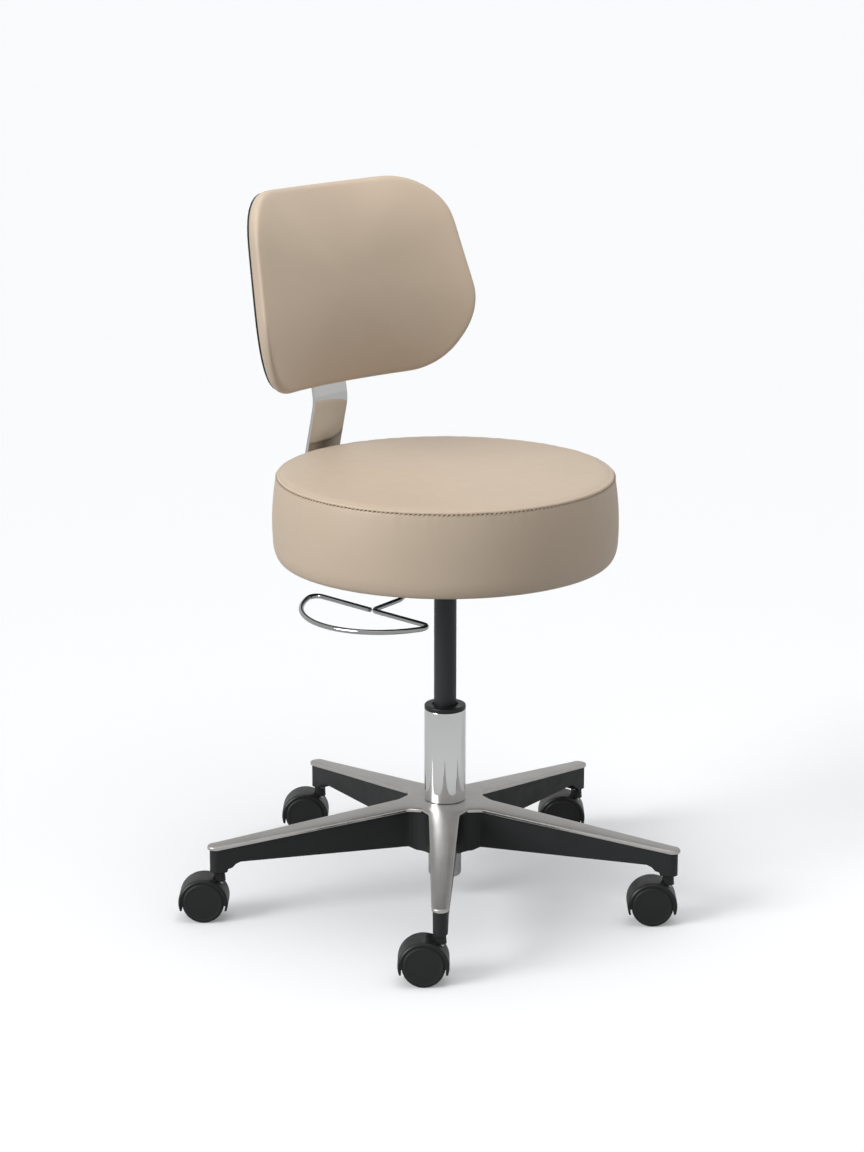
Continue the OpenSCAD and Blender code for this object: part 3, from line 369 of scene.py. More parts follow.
VINYL, THREAD = vinyl(), thread()
ALUMINIUM, LIP = satin_aluminium(), polished_aluminium()
CHROME = chrome("polished_chrome", (0.78, 0.78, 0.78), 0.035)
# The lever's chrome is a darker copy of the column's chrome: painted shade that stands in for the dark
# surroundings the rod reflects
ROD_CHROME_PAINTED_SHADE = chrome("chrome_with_painted_shade", (0.43, 0.43, 0.43), 0.04)
BAR_FINISH = chrome("polished_bar", (0.66, 0.66, 0.645), 0.06)
SATIN_TUBE = chrome("satin_tube", (0.56, 0.56, 0.56), 0.3)
BLACK_FRAME = moulded_black("black_frame", (0.0095, 0.0102, 0.011), 0.42, 0.55)
BLACK_PLASTIC = moulded_black("black_plastic", (0.0085, 0.0091, 0.0098), 0.36, 0.48, 1300.0)
BLACK_TREAD = moulded_black("black_tread", (0.008, 0.0085, 0.009), 0.42, 0.55, 1500.0)
BLACK_STEEL = moulded_black("black_steel", (0.021, 0.0225, 0.025), 0.36, 0.45, 1800.0)
STEEL, WOOD = plain_steel(), plywood("plywood", (0.42, 0.29, 0.17), (0.62, 0.46, 0.29))
STAINED_WOOD = plywood("black_stained_plywood", (0.012, 0.011, 0.01), (0.022, 0.02, 0.018))
FOAM = soft_plastic("foam", (0.8, 0.76, 0.62), 0.9)
WHITE_PLASTIC = soft_plastic("white_plastic", (0.72, 0.71, 0.67), 0.4)
RUBBER = soft_plastic("black_rubber", (0.02, 0.02, 0.02), 0.7)
DUST_CLOTH = woven_cloth()

NODE_FINISH = {
    "star_frame": BLACK_FRAME, "star_screws": STEEL, "tube_floor": STEEL, "grip_rings": STEEL,
    "lower_race": STEEL, "bearing_balls": STEEL, "upper_race": STEEL, "piston_rod": CHROME,
    "piston": WHITE_PLASTIC, "rod_damper": RUBBER, "rod_washer": STEEL, "rod_clip": STEEL,
    "inner_tube": STEEL, "rod_guide": WHITE_PLASTIC, "valve_body": WHITE_PLASTIC,
    "lift_housing": BLACK_STEEL, "lever_pin": STEEL, "lever_hub": STEEL, "release_button": STEEL,
    "seat_board": STAINED_WOOD, "seat_bolts": STEEL, "bar_bolts": STEEL, "back_board": WOOD,
    "back_shell": BLACK_PLASTIC, "back_screws": CHROME,
}


def finish_frame_nodes():
    """Gives each node that stays in view its material."""
    finishes = dict(NODE_FINISH)
    for k in range(1, ARMS + 1):
        finishes[f"caster_stem_{k}"] = STEEL
        finishes[f"caster_axle_{k}"] = STEEL
    for name, material in finishes.items():
        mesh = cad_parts[name].data
        mesh.materials.clear()
        mesh.materials.append(material)


# Seat


def seat_side_r(z):
    """Radius of the boxing at a height, widest part way down and drawn in at the seam."""
    return SEAT_R - SEAM_IN * ((z - SEAT_Z - SEAT_WIDE_H) / (SEAT_SIDE_H - SEAT_WIDE_H)) ** 2


def seat_profile():
    """The cushion's profile: the hem, the rounded foot, the side, the sewn seam and the crowned top."""
    groove, lip = 3.2, 1.2
    edge_top = SEAT_Z + EDGE_H
    under = [(SEAT_R - EDGE_W - HEM_W, SEAT_Z + 1.4), (SEAT_R - EDGE_W - HEM_W + 0.6, SEAT_Z)]
    under += [(SEAT_R - EDGE_W - HEM_W * (1 - i / 5), SEAT_Z) for i in range(1, 5)]
    foot = seat_side_r(edge_top) - EDGE_W
    corner = [(foot + EDGE_W * math.sin(math.radians(a)), edge_top - EDGE_H * math.cos(math.radians(a)))
              for a in range(0, 91, 10)]
    side_top = SEAM_Z - lip
    levels = [edge_top + (side_top - 3 - edge_top) * i / 14 for i in range(1, 15)]
    side = [(seat_side_r(z), z) for z in levels]
    stitched = [(0.3, -0.6), (1.0, -0.35), (groove, -0.3), (groove, 0.3), (1.2, 0.35), (0.6, 0.7),
                (0.5, 1.6), (1.1, 2.8), (2.6, 3.8)]
    seam = [(SEAM_R, side_top)] + [(SEAM_R - inward, SEAM_Z + up) for inward, up in stitched]
    crown = []
    for r in [SEAM_R - 4.8, SEAM_R - 8] + [(SEAM_R - 13) * (1 - i / 16) for i in range(17)]:
        roll = 1 - max(0, 1 - (SEAM_R - r) / PUFF_W) ** 2
        crown.append((r, SEAM_Z + PUFF * roll + (CROWN - PUFF) * (1 - (r / SEAM_R) ** 2.4)))
    return under + corner + side + seam + crown


def pucker(angle, depth, reach, seed):
    """How far the sewn skin draws in at an angle: small uneven gathers beside the stitches."""
    around = Vector((math.cos(angle), math.sin(angle), seed))
    gathers = noise.noise(around * 46) + 0.6 * noise.noise(around * 95)
    return gathers * depth * reach


def make_seat():
    """The whole cushion: vinyl gathered a little at the seam, and a black cloth under it."""
    gather, lift, waver, seed = 0.5, 0.45, 0.7, 1.7
    bm = turned(seat_profile(), steps=300)
    for v in bm.verts:
        r = math.hypot(v.co.x, v.co.y)
        if r < 1:
            continue
        angle = math.atan2(v.co.y, v.co.x)
        along = Vector((v.co.x, v.co.y, 0)) / r
        below = smoothstep(26, 1, SEAM_Z - v.co.z) if v.co.z < SEAM_Z and r > SEAM_R - 5 else 0
        above = smoothstep(20, 2, SEAM_R - r) if v.co.z >= SEAM_Z - 0.2 else 0
        v.co += along * pucker(angle, gather, below, seed)
        v.co.z += pucker(angle, lift, above, seed)
        sag = Vector((v.co.x, v.co.y, v.co.z)) * 0.008
        if v.co.z > SEAT_Z + 2:
            v.co += along * noise.noise(sag + Vector((3, 1, 7))) * waver
    for f in bm.faces:
        middle = f.calc_center_median()
        f.material_index = int(middle.z < SEAT_Z + 1.5 and middle.xy.length < SEAT_R - EDGE_W - 3)
    seat = finish_piece(bm, "seat_cushion", "seat", ("seat_cover", "seat_foam"), 60,
                        [VINYL, DUST_CLOTH])
    subdivided(seat, 1)


def make_seam_stitches():
    """Short thread stitches set in the groove between the top panel and the boxing."""
    bm = bmesh.new()
    r = SEAM_R + 0.05
    count = round(FULL * r / STITCH_PITCH)
    first = bmesh.ops.create_uvsphere(bm, u_segments=6, v_segments=4, radius=0.5)["verts"]
    bmesh.ops.scale(bm, vec=(STITCH_T, STITCH_L, STITCH_T), verts=first)
    bmesh.ops.translate(bm, vec=(r, 0, SEAM_Z + 0.05), verts=first)
    bmesh.ops.spin(bm, geom=bm.faces[:], cent=(0, 0, 0), axis=(0, 0, 1),
                   angle=FULL * (count - 1) / count, steps=count - 1, use_duplicate=True)
    finish_piece(bm, "seat_seam_stitches", "seat", smooth=80, materials=[THREAD])


# Back


def on_back(verts):
    """Bends a flat back piece round the sitter, leans it and sets it at its height."""
    lean = Matrix.Translation((0, BACK_Y, BACK_Z)) @ Matrix.Rotation(-BACK_LEAN, 4, "X")
    for v in verts:
        wrap = BACK_CURVE_R - math.sqrt(BACK_CURVE_R ** 2 - v.co.x ** 2)
        v.co = lean @ Vector((v.co.x, v.co.y - wrap, v.co.z))


BACK_CORNERS = [(-153, 118.5), (153, 118.5), (177.5, -60), (133, -122), (-133, -122), (-177.5, -60)]
BACK_RADII = [71, 71, 98, 66, 66, 98]


def back_outline(steps=10, longest=16):
    """The back's outline with its corners rounded and its long sides split, to follow the curve."""
    loop = [Vector((x, 0, z)) for x, z in rounded_chain(BACK_CORNERS, BACK_RADII, steps)]
    split = []
    for start, end in zip(loop, loop[1:] + loop[:1]):
        parts = math.ceil((end - start).length / longest)
        split += [start.lerp(end, i / parts) for i in range(parts)]
    return split


def grown_rings(bm, outline, stations):
    """Closes a form from a flat outline through (share of its size, y) rings, and caps both ends."""
    ring = [bm.verts.new(flat) for flat in outline]
    edges = [bm.edges.new((ring[i - 1], ring[i])) for i in range(len(ring))]
    for n, (share, y) in enumerate(stations):
        if n:
            new, edges, _ = extruded(bm, edges)
            ring = [grown_from(v, new) for v in ring]
        for v, flat in zip(ring, outline):
            v.co = Vector((flat.x * share, y, flat.z * share))
        if n in (0, len(stations) - 1):
            bmesh.ops.contextual_create(bm, geom=edges)
    bmesh.ops.poke(bm, faces=[f for f in bm.faces if len(f.verts) > 4])
    bmesh.ops.recalc_face_normals(bm, faces=bm.faces)


def make_back_pad():
    """The padding: the cover wraps the board's edge in a slim roll, and the face domes to its middle."""
    side = [(0.3, 0), (0.6, 0), (0.88, 0), (0.955, 0.1), (0.975, 0.7), (0.99, 2.8), (0.999, 6.5),
            (1.003, 11), (1, 15), (0.99, 18.2), (0.972, 20.6), (BACK_FACE, BACK_EDGE_T)]
    full = BACK_BOARD_T + PAD_T + PAD_CROWN
    face = [(s, full - (full - BACK_EDGE_T) * (s / BACK_FACE) ** 2.1)
            for s in (0.925, 0.89, 0.84, 0.77, 0.68, 0.56, 0.42, 0.28, 0.14)]
    bm = bmesh.new()
    grown_rings(bm, back_outline(), [(s, -REST_Y - SHELL_T - d) for s, d in side + face])
    on_back(bm.verts)
    pad = finish_piece(bm, "back_cushion", "seat", ("back_pad",), 80, [VINYL])
    subdivided(pad, 2)


def make_back_shell():
    """The moulded rear shell, set in a little from the cushion's edge."""
    rear = [(0.5, 0), (0.9, 0), (0.945, 0.1), (0.96, 0.5), (0.966, 1.3), (0.966, 3), (0.9, 3)]
    bm = bmesh.new()
    grown_rings(bm, back_outline(), [(s, -REST_Y - d) for s, d in rear])
    on_back(bm.verts)
    shell = finish_piece(bm, "back_shell_moulded", "seat", (), 50, [BLACK_PLASTIC])
    subdivided(shell, 1)


def bar_line():
    """The bar's front face, seen from the side, as (y, z) corners."""
    foot_y, bend_z, up = 235.5, 588, 20
    low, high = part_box("back_bar")
    bend_y = BACK_Y - (BACK_Z - bend_z) * math.tan(BACK_LEAN)
    top = (BACK_Y + up * math.sin(BACK_LEAN), BACK_Z + up * math.cos(BACK_LEAN))
    bar_t = 5
    return [(low.y / MM, low.z / MM + bar_t), (foot_y, low.z / MM + bar_t), (bend_y, bend_z), top], bar_t


def make_back_bar():
    """The flat bar, bent up behind the seat, with its long edges broken."""
    width, low_bend_r, high_bend_r = 54, 22, 48
    line, bar_t = bar_line()
    path = rounded_chain(line, [0, low_bend_r, high_bend_r, 0], 10, closed=False)
    bm = bmesh.new()
    verts = [bm.verts.new((-width / 2, y, z)) for y, z in path]
    edges = [bm.edges.new(pair) for pair in zip(verts, verts[1:])]
    bmesh.ops.translate(bm, vec=(width, 0, 0), verts=list(extruded(bm, edges)[0]))
    bmesh.ops.recalc_face_normals(bm, faces=bm.faces)
    bm.normal_update()
    foot = min(bm.faces, key=lambda f: f.calc_center_median().y)
    if foot.normal.z < 0:
        bmesh.ops.reverse_faces(bm, faces=bm.faces)
    bmesh.ops.solidify(bm, geom=bm.faces[:], thickness=bar_t)
    bmesh.ops.recalc_face_normals(bm, faces=bm.faces)
    sharp = [e for e in bm.edges if e.calc_face_angle(0) > math.radians(60)]
    bmesh.ops.bevel(bm, geom=sharp, offset=0.7, segments=3, profile=0.5, affect="EDGES", material=-1)
    finish_piece(bm, "back_bar_polished", "seat", ("back_bar",), 35, [BAR_FINISH])


# Star base


def arm_half_width(x, inset):
    return ROOT_W / 2 - inset - (max(x, ROOT_R) - ROOT_R) * math.tan(TAPER)


def arm_boundary(u, inset):
    """A point on one side of an arm, and how far out the row through it reaches in the middle.

    u goes from the column to the tip: along the line between two arms, round the crotch, along
    the side and then to the start of the rounded tip.
    """
    half_step = ARM_STEP / 2
    fillet = CROTCH_R + inset
    side_n = Vector((math.sin(TAPER), math.cos(TAPER)))
    root = Vector((ROOT_R, ROOT_W / 2 - inset))
    reach = (fillet + root.dot(side_n)) / math.sin(half_step + TAPER)
    centre = reach * Vector((math.cos(half_step), math.sin(half_step)))
    crotch = reach - fillet
    tip_side = Vector((TIP_C, 0)) + (TIP_R - inset) * side_n
    tangent = centre - fillet * side_n
    if u < HUB_SHARE:
        r = NECK_R + 1 + (crotch - NECK_R - 1) * u / HUB_SHARE
        return r * Vector((math.cos(half_step), math.sin(half_step))), r
    if u < ARC_SHARE:
        t = (u - HUB_SHARE) / (ARC_SHARE - HUB_SHARE)
        a = half_step + math.pi + (math.pi / 2 - half_step - TAPER) * t
        point = centre + fillet * Vector((math.cos(a), math.sin(a)))
        return point, crotch + (tangent.x + 3 - crotch) * (t * 0.6 + 0.4 * t * t)
    t = (u - ARC_SHARE) / (1 - ARC_SHARE)
    point = tangent + (tip_side - tangent) * t
    return point, tangent.x + 3 + (TIP_C + TIP_R - inset - tangent.x - 3) * t


def cap_top_z(r):
    """Height of the cap's top: flat at the hub, then falling to the tips."""
    d = r - HUB_FLAT_R
    return HUB_TOP_Z - CAP_FALL * (d + math.sqrt(d * d + 64)) / 2


def arm_sheet(inset, rows, columns, height):
    """One arm's fifth of the star as a sheet, from the tube to the tip, at height(x, y, v)."""
    bm = bmesh.new()
    bmesh.ops.create_grid(bm, x_segments=rows, y_segments=columns, size=1)
    for vert in bm.verts:
        u, v = (vert.co.x + 1) / 2, vert.co.y
        edge, middle_x = arm_boundary(u, inset)
        hub = smoothstep(ARC_SHARE, HUB_SHARE, u)
        tip = smoothstep(0.9, 1.0, u)
        angle = v * ARM_STEP / 2
        row = Vector((middle_x + (edge.x - middle_x) * v * v, edge.y * v))
        ring_r = edge.length + (middle_x - edge.length) * (1 - v * v)
        ring = ring_r * Vector((math.cos(angle), math.sin(angle)))
        swing = v * (math.pi / 2 - TAPER)
        cap = Vector((TIP_C, 0)) + (TIP_R - inset) * Vector((math.cos(swing), math.sin(swing)))
        x, y = (row * (1 - hub) + ring * hub) * (1 - tip) + cap * tip if u < 1 else cap
        vert.co = Vector((x, y, height(x, y, v)))
    return bm


def whole_star(sheet):
    """Five copies of one arm's sheet, turned to their places and joined between the arms."""
    star = bmesh.new()
    mesh = bpy.data.meshes.new("arm_sheet")
    sheet.to_mesh(mesh)
    sheet.free()
    for k in range(ARMS):
        before = len(star.verts)
        star.from_mesh(mesh)
        star.verts.ensure_lookup_table()
        turn = Matrix.Rotation(FIRST_TURN + k * ARM_STEP, 4, "Z")
        bmesh.ops.transform(star, matrix=turn, verts=star.verts[before:])
    bpy.data.meshes.remove(mesh)
    bmesh.ops.remove_doubles(star, verts=star.verts, dist=0.02)
    bmesh.ops.recalc_face_normals(star, faces=star.faces)
    return star


def outward(ring_edges):
    """The outward direction in plan at each vertex of an open outline."""
    away = {}
    for e in ring_edges:
        a, b = e.verts
        n = Vector((b.co.y - a.co.y, a.co.x - b.co.x, 0)).normalized()
        face = e.link_faces[0]
        if n.dot(face.calc_center_median() - a.co) > 0:
            n = -n
        for v in e.verts:
            away[v] = away.get(v, Vector()) + n
    return {v: n.normalized() for v, n in away.items()}


def drawn_down(bm, ring_edges, steps):
    """Extrudes an open outline through (out, down) steps, and returns the new faces."""
    away = outward(ring_edges)
    edges, faces = ring_edges, []
    for out, down in steps:
        new, edges, made = extruded(bm, edges)
        faces += made
        fresh = {}
        for v, n in away.items():
            w = grown_from(v, new)
            w.co = w.co + n * out - Vector((0, 0, down))
            fresh[w] = n
        away = fresh
    return faces


def make_star_top():
    """The cast cap: a crowned face, a rolled bevel round its edge and a polished lip under it."""
    bevel_w, bevel_h, crown, side_h = 1.9, 2.1, 0.5, 1.4
    sheet = arm_sheet(bevel_w, 64, 16, lambda x, y, v: cap_top_z(math.hypot(x, y)) - crown * abs(v) ** 3
                      * smoothstep(30, 110, math.hypot(x, y)) - 0.25 * abs(v) ** 6)
    bm = whole_star(sheet)
    bm.normal_update()
    if bm.faces[:][0].normal.z < 0:
        bmesh.ops.reverse_faces(bm, faces=bm.faces)
    ring = [e for e in bm.edges if e.is_boundary and e.verts[0].co.xy.length > NECK_R + 4]
    turns = [math.radians(a) for a in (0, 9, 24, 42, 60, 76, 88)]
    roll = [(bevel_w * (math.sin(b) - math.sin(a)) / math.sin(turns[-1]),
             bevel_h * (math.cos(a) - math.cos(b))) for a, b in zip(turns, turns[1:])]
    lip = [(0.02, side_h), (0.02, 0.5), (-0.1, 0.35), (-0.4, 0.35), (-0.8, 0.15), (-4, 0)]
    faces = drawn_down(bm, ring, roll + lip)
    for f in bm.faces:
        f.material_index = 0
    for f in faces:
        middle = f.calc_center_median()
        if middle.z < cap_top_z(middle.xy.length) - bevel_h * 0.8:
            f.material_index = 1
    bmesh.ops.recalc_face_normals(bm, faces=bm.faces)
    finish_piece(bm, "star_cap", "base", ("star_top",), 50, [ALUMINIUM, LIP])


# Column


def make_stand_tube():
    """The outer tube: a rounded foot, a neck in the hub, and the chromed barrel above it."""
    edge, neck_top_z = 0.7, 66
    wall = TUBE_R - TUBE_WALL
    outside = ([(NECK_R - 6, TUBE_LOW_Z)] + arc(NECK_R - 3, TUBE_LOW_Z + 3, 3, -90, 0, 8)
               + [(NECK_R, neck_top_z), (NECK_R + 1.2, HUB_TOP_Z), (TUBE_R - 1, HUB_TOP_Z + 0.1)]
               + arc(TUBE_R - 1, HUB_TOP_Z + 1.1, 1, -90, 0, 4)
               + arc(TUBE_R - edge, TUBE_TOP_Z - edge, edge, 0, 90, 3))
    inside = [(wall, TUBE_TOP_Z), (wall, HUB_TOP_Z + 8), (NECK_R - 2, HUB_TOP_Z),
              (NECK_R - 2, TUBE_LOW_Z + 3), (NECK_R - 6, TUBE_LOW_Z + 3)]
    bm = turned(outside + inside, 128, closed=True)
    for f in bm.faces:
        f.material_index = 1 if f.calc_center_median().z < HUB_TOP_Z - 5 else 0
    finish_piece(bm, "column_tube", "base", ("stand_tube",), 35, [CHROME, SATIN_TUBE])


def make_collar():
    """The guide bush, with its collar on the tube and a recess round the pressure tube."""
    top, low = TUBE_TOP_Z + COLLAR_H, TUBE_TOP_Z - BUSH_L
    recess, bore, wall = LIFT_R + 2.2, LIFT_R + RUN, TUBE_R - TUBE_WALL
    small, large = 0.6, 1.6
    bm = turned([(bore, low), (wall, low), (wall, TUBE_TOP_Z + 0.1)]
                + arc(TUBE_R - small, TUBE_TOP_Z + small + 0.1, small, -90, 0, 3)
                + arc(TUBE_R - large, top - large, large, 0, 90, 6)
                + arc(recess + small, top - small, small, 90, 180, 3)
                + [(recess, top - 2.2), (bore, top - 2.2)], 96, closed=True)
    finish_piece(bm, "column_collar", "base", ("guide_bush",), 40, [BLACK_PLASTIC])


def make_pressure_tube():
    """The painted tube that slides in the bush, with its taper in the lift housing."""
    low, high = (corner.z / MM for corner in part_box("pressure_tube"))
    taper_low_z, taper_high_z, taper = 379, 403, 0.5
    end_r, mouth_r, wall = 6, 8.75, 2
    bm = turned([(end_r, low)] + arc(LIFT_R - 0.8, low + 0.8, 0.8, -90, 0, 3)
                + [(LIFT_R, taper_low_z), (LIFT_R - taper, taper_high_z), (LIFT_R - taper, high),
                   (mouth_r, high), (mouth_r, high - wall), (LIFT_R - wall, high - wall),
                   (LIFT_R - wall, low + wall), (end_r, low + wall)], 96, closed=True)
    finish_piece(bm, "lift_tube", "seat", ("pressure_tube",), 40, [BLACK_STEEL])


# Release lever


def lever_points():
    """The bent rod's route: out along the stem, round the loop and back to the weld."""
    loop_w, depth, corner = 192, 75, 10
    x0, z0, tilt = 121, 385, math.radians(3.3)
    rise = math.tan(math.radians(5.1))
    pin_x, pin_z = -28, 414.3
    level_x, weld_gap = 72, 0.15

    def loop(s, d):
        return Vector((-x0 - d * math.cos(tilt), -s, z0 - d * math.sin(tilt)))

    half = loop_w / 2 - corner
    big = (corner ** 2 - half ** 2 - (corner - depth) ** 2) / (4 * corner - 2 * depth)
    centre = depth - big
    turn = math.degrees(math.atan2(corner - centre, half))
    corners = [(pin_x - 4.2, 0, pin_z), (-54, 0, pin_z), (-level_x, 0, z0 + (x0 - level_x) * rise),
               tuple(loop(0, 0)), tuple(loop(half, 0))]
    lead = rounded_chain(corners, [0, 14, 14, 8, 0], 8, closed=False)
    around = arc(half, corner, corner, -90, turn, 10) + arc(0, centre, big, turn, 180 - turn, 44)[1:]
    around += arc(-half, corner, corner, 180 - turn, 270, 10)[1:]
    return [Vector(p) for p in lead] + [loop(*p) for p in around[1:]] + [loop(-ROD_R - weld_gap, 0)]


def make_lever():
    """The release lever: one chromed rod along its route."""
    points = lever_points()
    curve = bpy.data.curves.new("lever_rod", "CURVE")
    curve.dimensions = "3D"
    curve.bevel_depth = ROD_R * MM
    curve.bevel_resolution = 5
    curve.use_fill_caps = True
    spline = curve.splines.new("POLY")
    spline.points.add(len(points) - 1)
    for place, point in zip(spline.points, points):
        place.co = (*(point * MM), 1)
    source = bpy.data.objects.new("lever_rod_curve", curve)
    bpy.context.scene.collection.objects.link(source)
    mesh = bpy.data.meshes.new_from_object(source.evaluated_get(bpy.context.evaluated_depsgraph_get()))
    bpy.data.objects.remove(source)
    bm = bmesh.new()
    bm.from_mesh(mesh)
    bpy.data.meshes.remove(mesh)
    bmesh.ops.scale(bm, vec=(1 / MM, 1 / MM, 1 / MM), verts=bm.verts)
    bmesh.ops.remove_doubles(bm, verts=bm.verts, dist=1e-3)
    bmesh.ops.recalc_face_normals(bm, faces=bm.faces)
    finish_piece(bm, "lever_rod", "release_lever", ("lever",), 50, [ROD_CHROME_PAINTED_SHADE])


# Casters


def at_caster(bm, k):
    """Turns a caster piece to its trail and moves it under its arm."""
    a = FIRST_TURN + ARM_STEP * (k - 1)
    place = Matrix.Translation((CASTER_R * math.cos(a), CASTER_R * math.sin(a), 0))
    bmesh.ops.transform(bm, matrix=place @ Matrix.Rotation(CASTER_TURN, 4, "Z"), verts=bm.verts)


def axle_frame():
    """From a shape turned on Z to one turned on the wheels' axle."""
    return Matrix.Translation((TRAIL, 0, WHEEL_R)) @ Matrix.Rotation(math.pi / 2, 4, "X")


def turned_part(points, start, steps):
    """A closed profile of (r, z) turned from one horn of the hood to the other, open below."""
    bm = bmesh.new()
    profile = bm.faces.new([bm.verts.new((r, 0, z)) for r, z in points])
    bmesh.ops.rotate(bm, cent=(0, 0, 0), matrix=Matrix.Rotation(-start, 3, "Z"), verts=bm.verts)
    bmesh.ops.spin(bm, geom=[profile], cent=(0, 0, 0), axis=(0, 0, 1), angle=math.pi + 2 * start,
                   steps=steps)
    bmesh.ops.recalc_face_normals(bm, faces=bm.faces)
    return bm


def joined(parts):
    """One bmesh from several."""
    whole = bmesh.new()
    for part in parts:
        mesh = bpy.data.meshes.new("joined_part")
        part.to_mesh(mesh)
        part.free()
        whole.from_mesh(mesh)
        bpy.data.meshes.remove(mesh)
    return whole


def make_hood(k):
    """The hood over both wheels: a shouldered shell, a ring at each face, the web and the neck."""
    half, shoulder = HOOD_HALF, 3.2
    outer = HOOD_OUT_R - 0.3
    turns = [math.radians(a) for a in range(30, 91, 10)]
    near = ([(HOOD_IN_R, 3 - half), (HOOD_IN_R, 0.6 - half), (HOOD_IN_R + 0.5, -half)]
            + [(outer - shoulder + shoulder * math.sin(a) * 0.98, shoulder * (1 - math.cos(a)) - half)
               for a in turns]
            + [(outer, shoulder + 4 - half)])
    shell = near + [(r, -z) for r, z in reversed(near)]
    horn = math.asin((WHEEL_R - HOOD_LOW_Z) / HOOD_OUT_R)
    parts = [turned_part(shell, horn, 64)]
    for side in (-1, 1):
        face, lip_r, root_r = half - 1.5, 24.4, HOOD_IN_R + 0.4
        ring = [(lip_r, side * (face - 0.7)), (lip_r + 0.1, side * (face - 0.15)),
                (lip_r + 0.5, side * face), (root_r, side * face), (root_r, side * (face - 0.9))]
        parts.append(turned_part(ring if side > 0 else ring[::-1], math.radians(7), 56))
    web_in, web_out = AXLE_R + 0.02, HOOD_IN_R + 1
    web = [(web_in, -WEB_T / 2), (web_out, -WEB_T / 2), (web_out, WEB_T / 2), (web_in, WEB_T / 2)]
    parts.append(turned_part(web, math.radians(10), 48))
    bm = joined(parts)
    bmesh.ops.transform(bm, matrix=axle_frame(), verts=bm.verts)
    low, high, groove = NECK_LOW_Z, NECK_TOP_Z, NECK_RING_R - 0.35
    neck = turned([(STEM_R + 0.1, low), (NECK_RING_R + 0.5, low), (NECK_RING_R + 0.2, low + 3),
                   (NECK_RING_R, high - 3.4), (groove, high - 3.1), (groove, high - 2.3),
                   (NECK_RING_R, high - 2.0), (NECK_RING_R, high - 0.5), (NECK_RING_R - 0.5, high),
                   (STEM_R + 0.1, high)], 48, closed=True)
    bm = joined([bm, neck])
    at_caster(bm, k)
    finish_piece(bm, f"caster_hood_shell_{k}", f"caster_{k}", (f"caster_hood_{k}",), 40,
                 [BLACK_PLASTIC])


def make_wheel(k, side):
    """One hollow wheel: hub and rim behind, a rounded tread, and a dished face with a rolled edge."""
    edge, back, rim, hub_r, wall = 3.4, 0.8, 3.5, 6, 3
    face, face_r = WHEEL_W, WHEEL_R - edge
    behind = [(AXLE_R + RUN, 0), (hub_r, 0), (hub_r, face - wall), (WHEEL_R - rim, face - wall),
              (WHEEL_R - rim, 0), (WHEEL_R - back, 0)]
    tread = arc(WHEEL_R - back, back, back, -45, 0, 2) + arc(face_r, face - edge, edge, 0, 90, 9)
    dish = [(face_r - 0.9, face), (face_r - 1.6, face - 0.35), (face_r - 2.6, face - 0.4),
            (12, face - 0.15), (0, face - 0.1)]
    bm = turned(behind + tread + dish, 96)
    turn = Matrix.Rotation(-math.pi / 2 * side, 4, "X")
    turn = Matrix.Translation((TRAIL, side * WHEEL_IN_Y, WHEEL_R)) @ turn
    bmesh.ops.transform(bm, matrix=turn, verts=bm.verts)
    at_caster(bm, k)
    name = f"{k}{'a' if side > 0 else 'b'}"
    finish_piece(bm, f"tread_{name}", f"caster_wheel_{name}", (f"wheel_{name}",), 40,
                 [BLACK_TREAD])


# Studio

LENS, SENSOR_W, LENS_SHIFT = 96.35, 36, -0.01161
VIEW_FROM = (-2.51387, -2.51387, 1.35389)
VIEW_TURN, VIEW_TILT, VIEW_ROLL = math.radians(-45), math.radians(75.038), 0.00194
BACKDROP, FILL_LEVEL = 0.955, 0.44
ROOM_TONES = [(0.0, 0.66), (0.2, 0.7), (0.42, 0.74), (0.6, 0.45), (1.0, 0.6)]
FLOOR_TONE, FLOOR_LIFT, FLOOR_HALF = (0.84, 0.845, 0.855), 0.165, 40
FLOOR_IN_METAL, FLOOR_BOUNCE = (0.62, 0.62, 0.62), (0.42, 0.42, 0.42)
bpy.context.scene.view_settings.view_transform = "Standard"


def make_camera():
    """The photograph's view, from the front left and a little above."""
    data = bpy.data.cameras.new("camera")
    data.lens, data.sensor_width, data.shift_x = LENS, SENSOR_W, LENS_SHIFT
    camera = bpy.data.objects.new("camera", data)
    bpy.context.scene.collection.objects.link(camera)
    turn = Matrix.Rotation(VIEW_TURN, 4, "Z") @ Matrix.Rotation(VIEW_TILT, 4, "X")
    camera.matrix_world = Matrix.Translation(VIEW_FROM) @ turn @ Matrix.Rotation(VIEW_ROLL, 4, "Z")
    bpy.context.scene.camera = camera


def lamp(name, azimuth, elevation, strength, spread, shines=True):
    """A distant soft light. Azimuth counts from the camera's own direction to its right."""
    data = bpy.data.lights.new(name, "SUN")
    data.energy, data.angle = strength, math.radians(spread)
    made = bpy.data.objects.new(name, data)
    made.visible_glossy = shines
    bpy.context.scene.collection.objects.link(made)
    a, e = math.radians(azimuth - 45), math.radians(elevation)
    way = Vector((math.sin(a) * math.cos(e), -math.cos(a) * math.cos(e), math.sin(e)))
    made.rotation_mode = "QUATERNION"
    made.rotation_quaternion = way.to_track_quat("Z", "Y")


def panel_lamp(name, azimuth, ahead, height, size, power):
    """A round panel that hangs level over the front of the stool."""
    data = bpy.data.lights.new(name, "AREA")
    data.shape, data.size, data.energy = "DISK", size, power
    made = bpy.data.objects.new(name, data)
    made.visible_glossy = False
    bpy.context.scene.collection.objects.link(made)
    a = math.radians(azimuth - 45)
    made.location = (math.sin(a) * ahead, 0.1 - math.cos(a) * ahead, height)


def ray_kinds(nodes, links):
    """Two switches: 1 for the camera's rays, and 1 for rays off or through a shiny surface."""
    path, shiny = nodes.new("ShaderNodeLightPath"), nodes.new("ShaderNodeMath")
    shiny.operation = "MAXIMUM"
    links.new(path.outputs["Is Glossy Ray"], shiny.inputs[0])
    links.new(path.outputs["Is Transmission Ray"], shiny.inputs[1])
    return path.outputs["Is Camera Ray"], shiny.outputs[0]


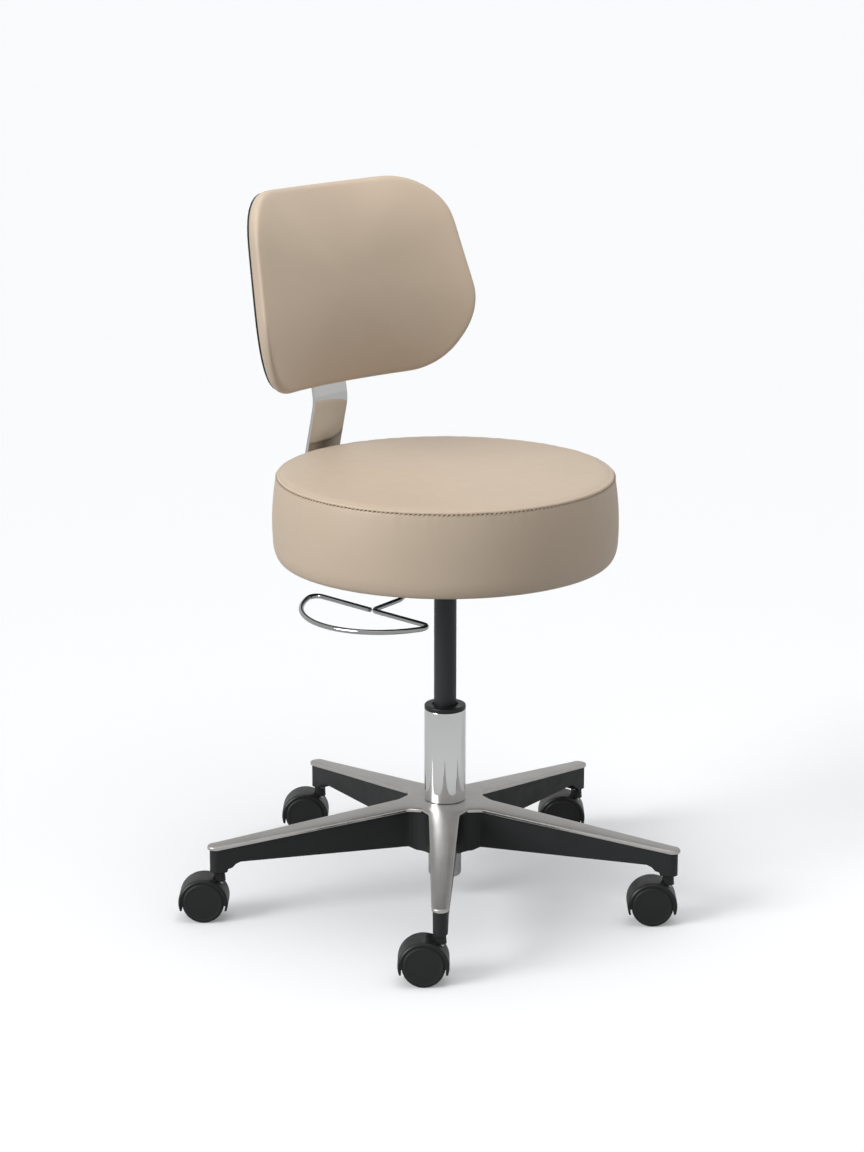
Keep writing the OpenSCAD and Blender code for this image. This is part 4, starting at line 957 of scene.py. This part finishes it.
def chosen(nodes, links, other, shiny, camera):
    """Picks one of three shaders by the kind of ray."""
    is_camera, is_shiny = ray_kinds(nodes, links)
    inner, outer = nodes.new("ShaderNodeMixShader"), nodes.new("ShaderNodeMixShader")
    links.new(is_shiny, inner.inputs[0])
    links.new(other, inner.inputs[1])
    links.new(shiny, inner.inputs[2])
    links.new(is_camera, outer.inputs[0])
    links.new(inner.outputs[0], outer.inputs[1])
    links.new(camera, outer.inputs[2])
    return outer.outputs[0]


def make_world():
    """A plain backdrop for the camera, a room that brightens upwards in metal, and an even fill."""
    world = bpy.data.worlds.new("studio")
    bpy.context.scene.world = world
    world.use_nodes = True
    nodes, links = world.node_tree.nodes, world.node_tree.links
    nodes.clear()
    out = nodes.new("ShaderNodeOutputWorld")
    backdrop, room, fill = [nodes.new("ShaderNodeBackground") for _ in range(3)]
    backdrop.inputs["Color"].default_value = rgb(BACKDROP, BACKDROP, BACKDROP)
    fill.inputs["Color"].default_value = rgb(0.97, 0.985, 1.0)
    fill.inputs["Strength"].default_value = FILL_LEVEL
    way, height = nodes.new("ShaderNodeTexCoord"), nodes.new("ShaderNodeSeparateXYZ")
    tones = nodes.new("ShaderNodeValToRGB")
    steps = tones.color_ramp.elements
    for position, tone in ROOM_TONES[1:-1]:
        steps.new(position)
    for step, (position, tone) in zip(steps, ROOM_TONES):
        step.position, step.color = position, rgb(tone, tone, tone)
    links.new(way.outputs["Generated"], height.inputs[0])
    links.new(height.outputs["Z"], tones.inputs[0])
    links.new(tones.outputs[0], room.inputs["Color"])
    surface = chosen(nodes, links, fill.outputs[0], room.outputs[0], backdrop.outputs[0])
    links.new(surface, out.inputs[0])


def make_floor():
    """A pale floor: lit and lifted for the camera, darker in metal and where it throws light back."""
    bm = bmesh.new()
    bmesh.ops.create_grid(bm, x_segments=2, y_segments=2, size=FLOOR_HALF)
    mesh = bpy.data.meshes.new("floor")
    bm.to_mesh(mesh)
    bm.free()
    floor = bpy.data.objects.new("floor", mesh)
    bpy.context.scene.collection.objects.link(floor)
    material = bpy.data.materials.new("pale_floor")
    material.use_nodes = True
    nodes, links = material.node_tree.nodes, material.node_tree.links
    nodes.clear()
    out = nodes.new("ShaderNodeOutputMaterial")
    bounce, mirrored, pale = [nodes.new("ShaderNodeBsdfDiffuse") for _ in range(3)]
    for shader, tone in ((bounce, FLOOR_BOUNCE), (mirrored, FLOOR_IN_METAL), (pale, FLOOR_TONE)):
        shader.inputs["Color"].default_value = rgb(*tone)
    glow, both = nodes.new("ShaderNodeEmission"), nodes.new("ShaderNodeAddShader")
    glow.inputs["Strength"].default_value = FLOOR_LIFT
    links.new(pale.outputs[0], both.inputs[0])
    links.new(glow.outputs[0], both.inputs[1])
    surface = chosen(nodes, links, bounce.outputs[0], mirrored.outputs[0], both.outputs[0])
    links.new(surface, out.inputs[0])
    mesh.materials.append(material)


make_camera()
finish_frame_nodes()
make_seat()
make_seam_stitches()
make_back_pad()
make_back_shell()
make_back_bar()
make_star_top()
make_stand_tube()
make_collar()
make_pressure_tube()
make_lever()
for number in range(1, ARMS + 1):
    make_hood(number)
    make_wheel(number, 1)
    make_wheel(number, -1)
make_world()
make_floor()
lamp("key", -60, 24, 2.3, 30)
lamp("overhead", 0, 86, 0.6, 60)
lamp("right_rim", 108, 6, 0.42, 50, shines=False)
panel_lamp("front_panel", 15, 0.2, 1.3, 0.5, 2.2)
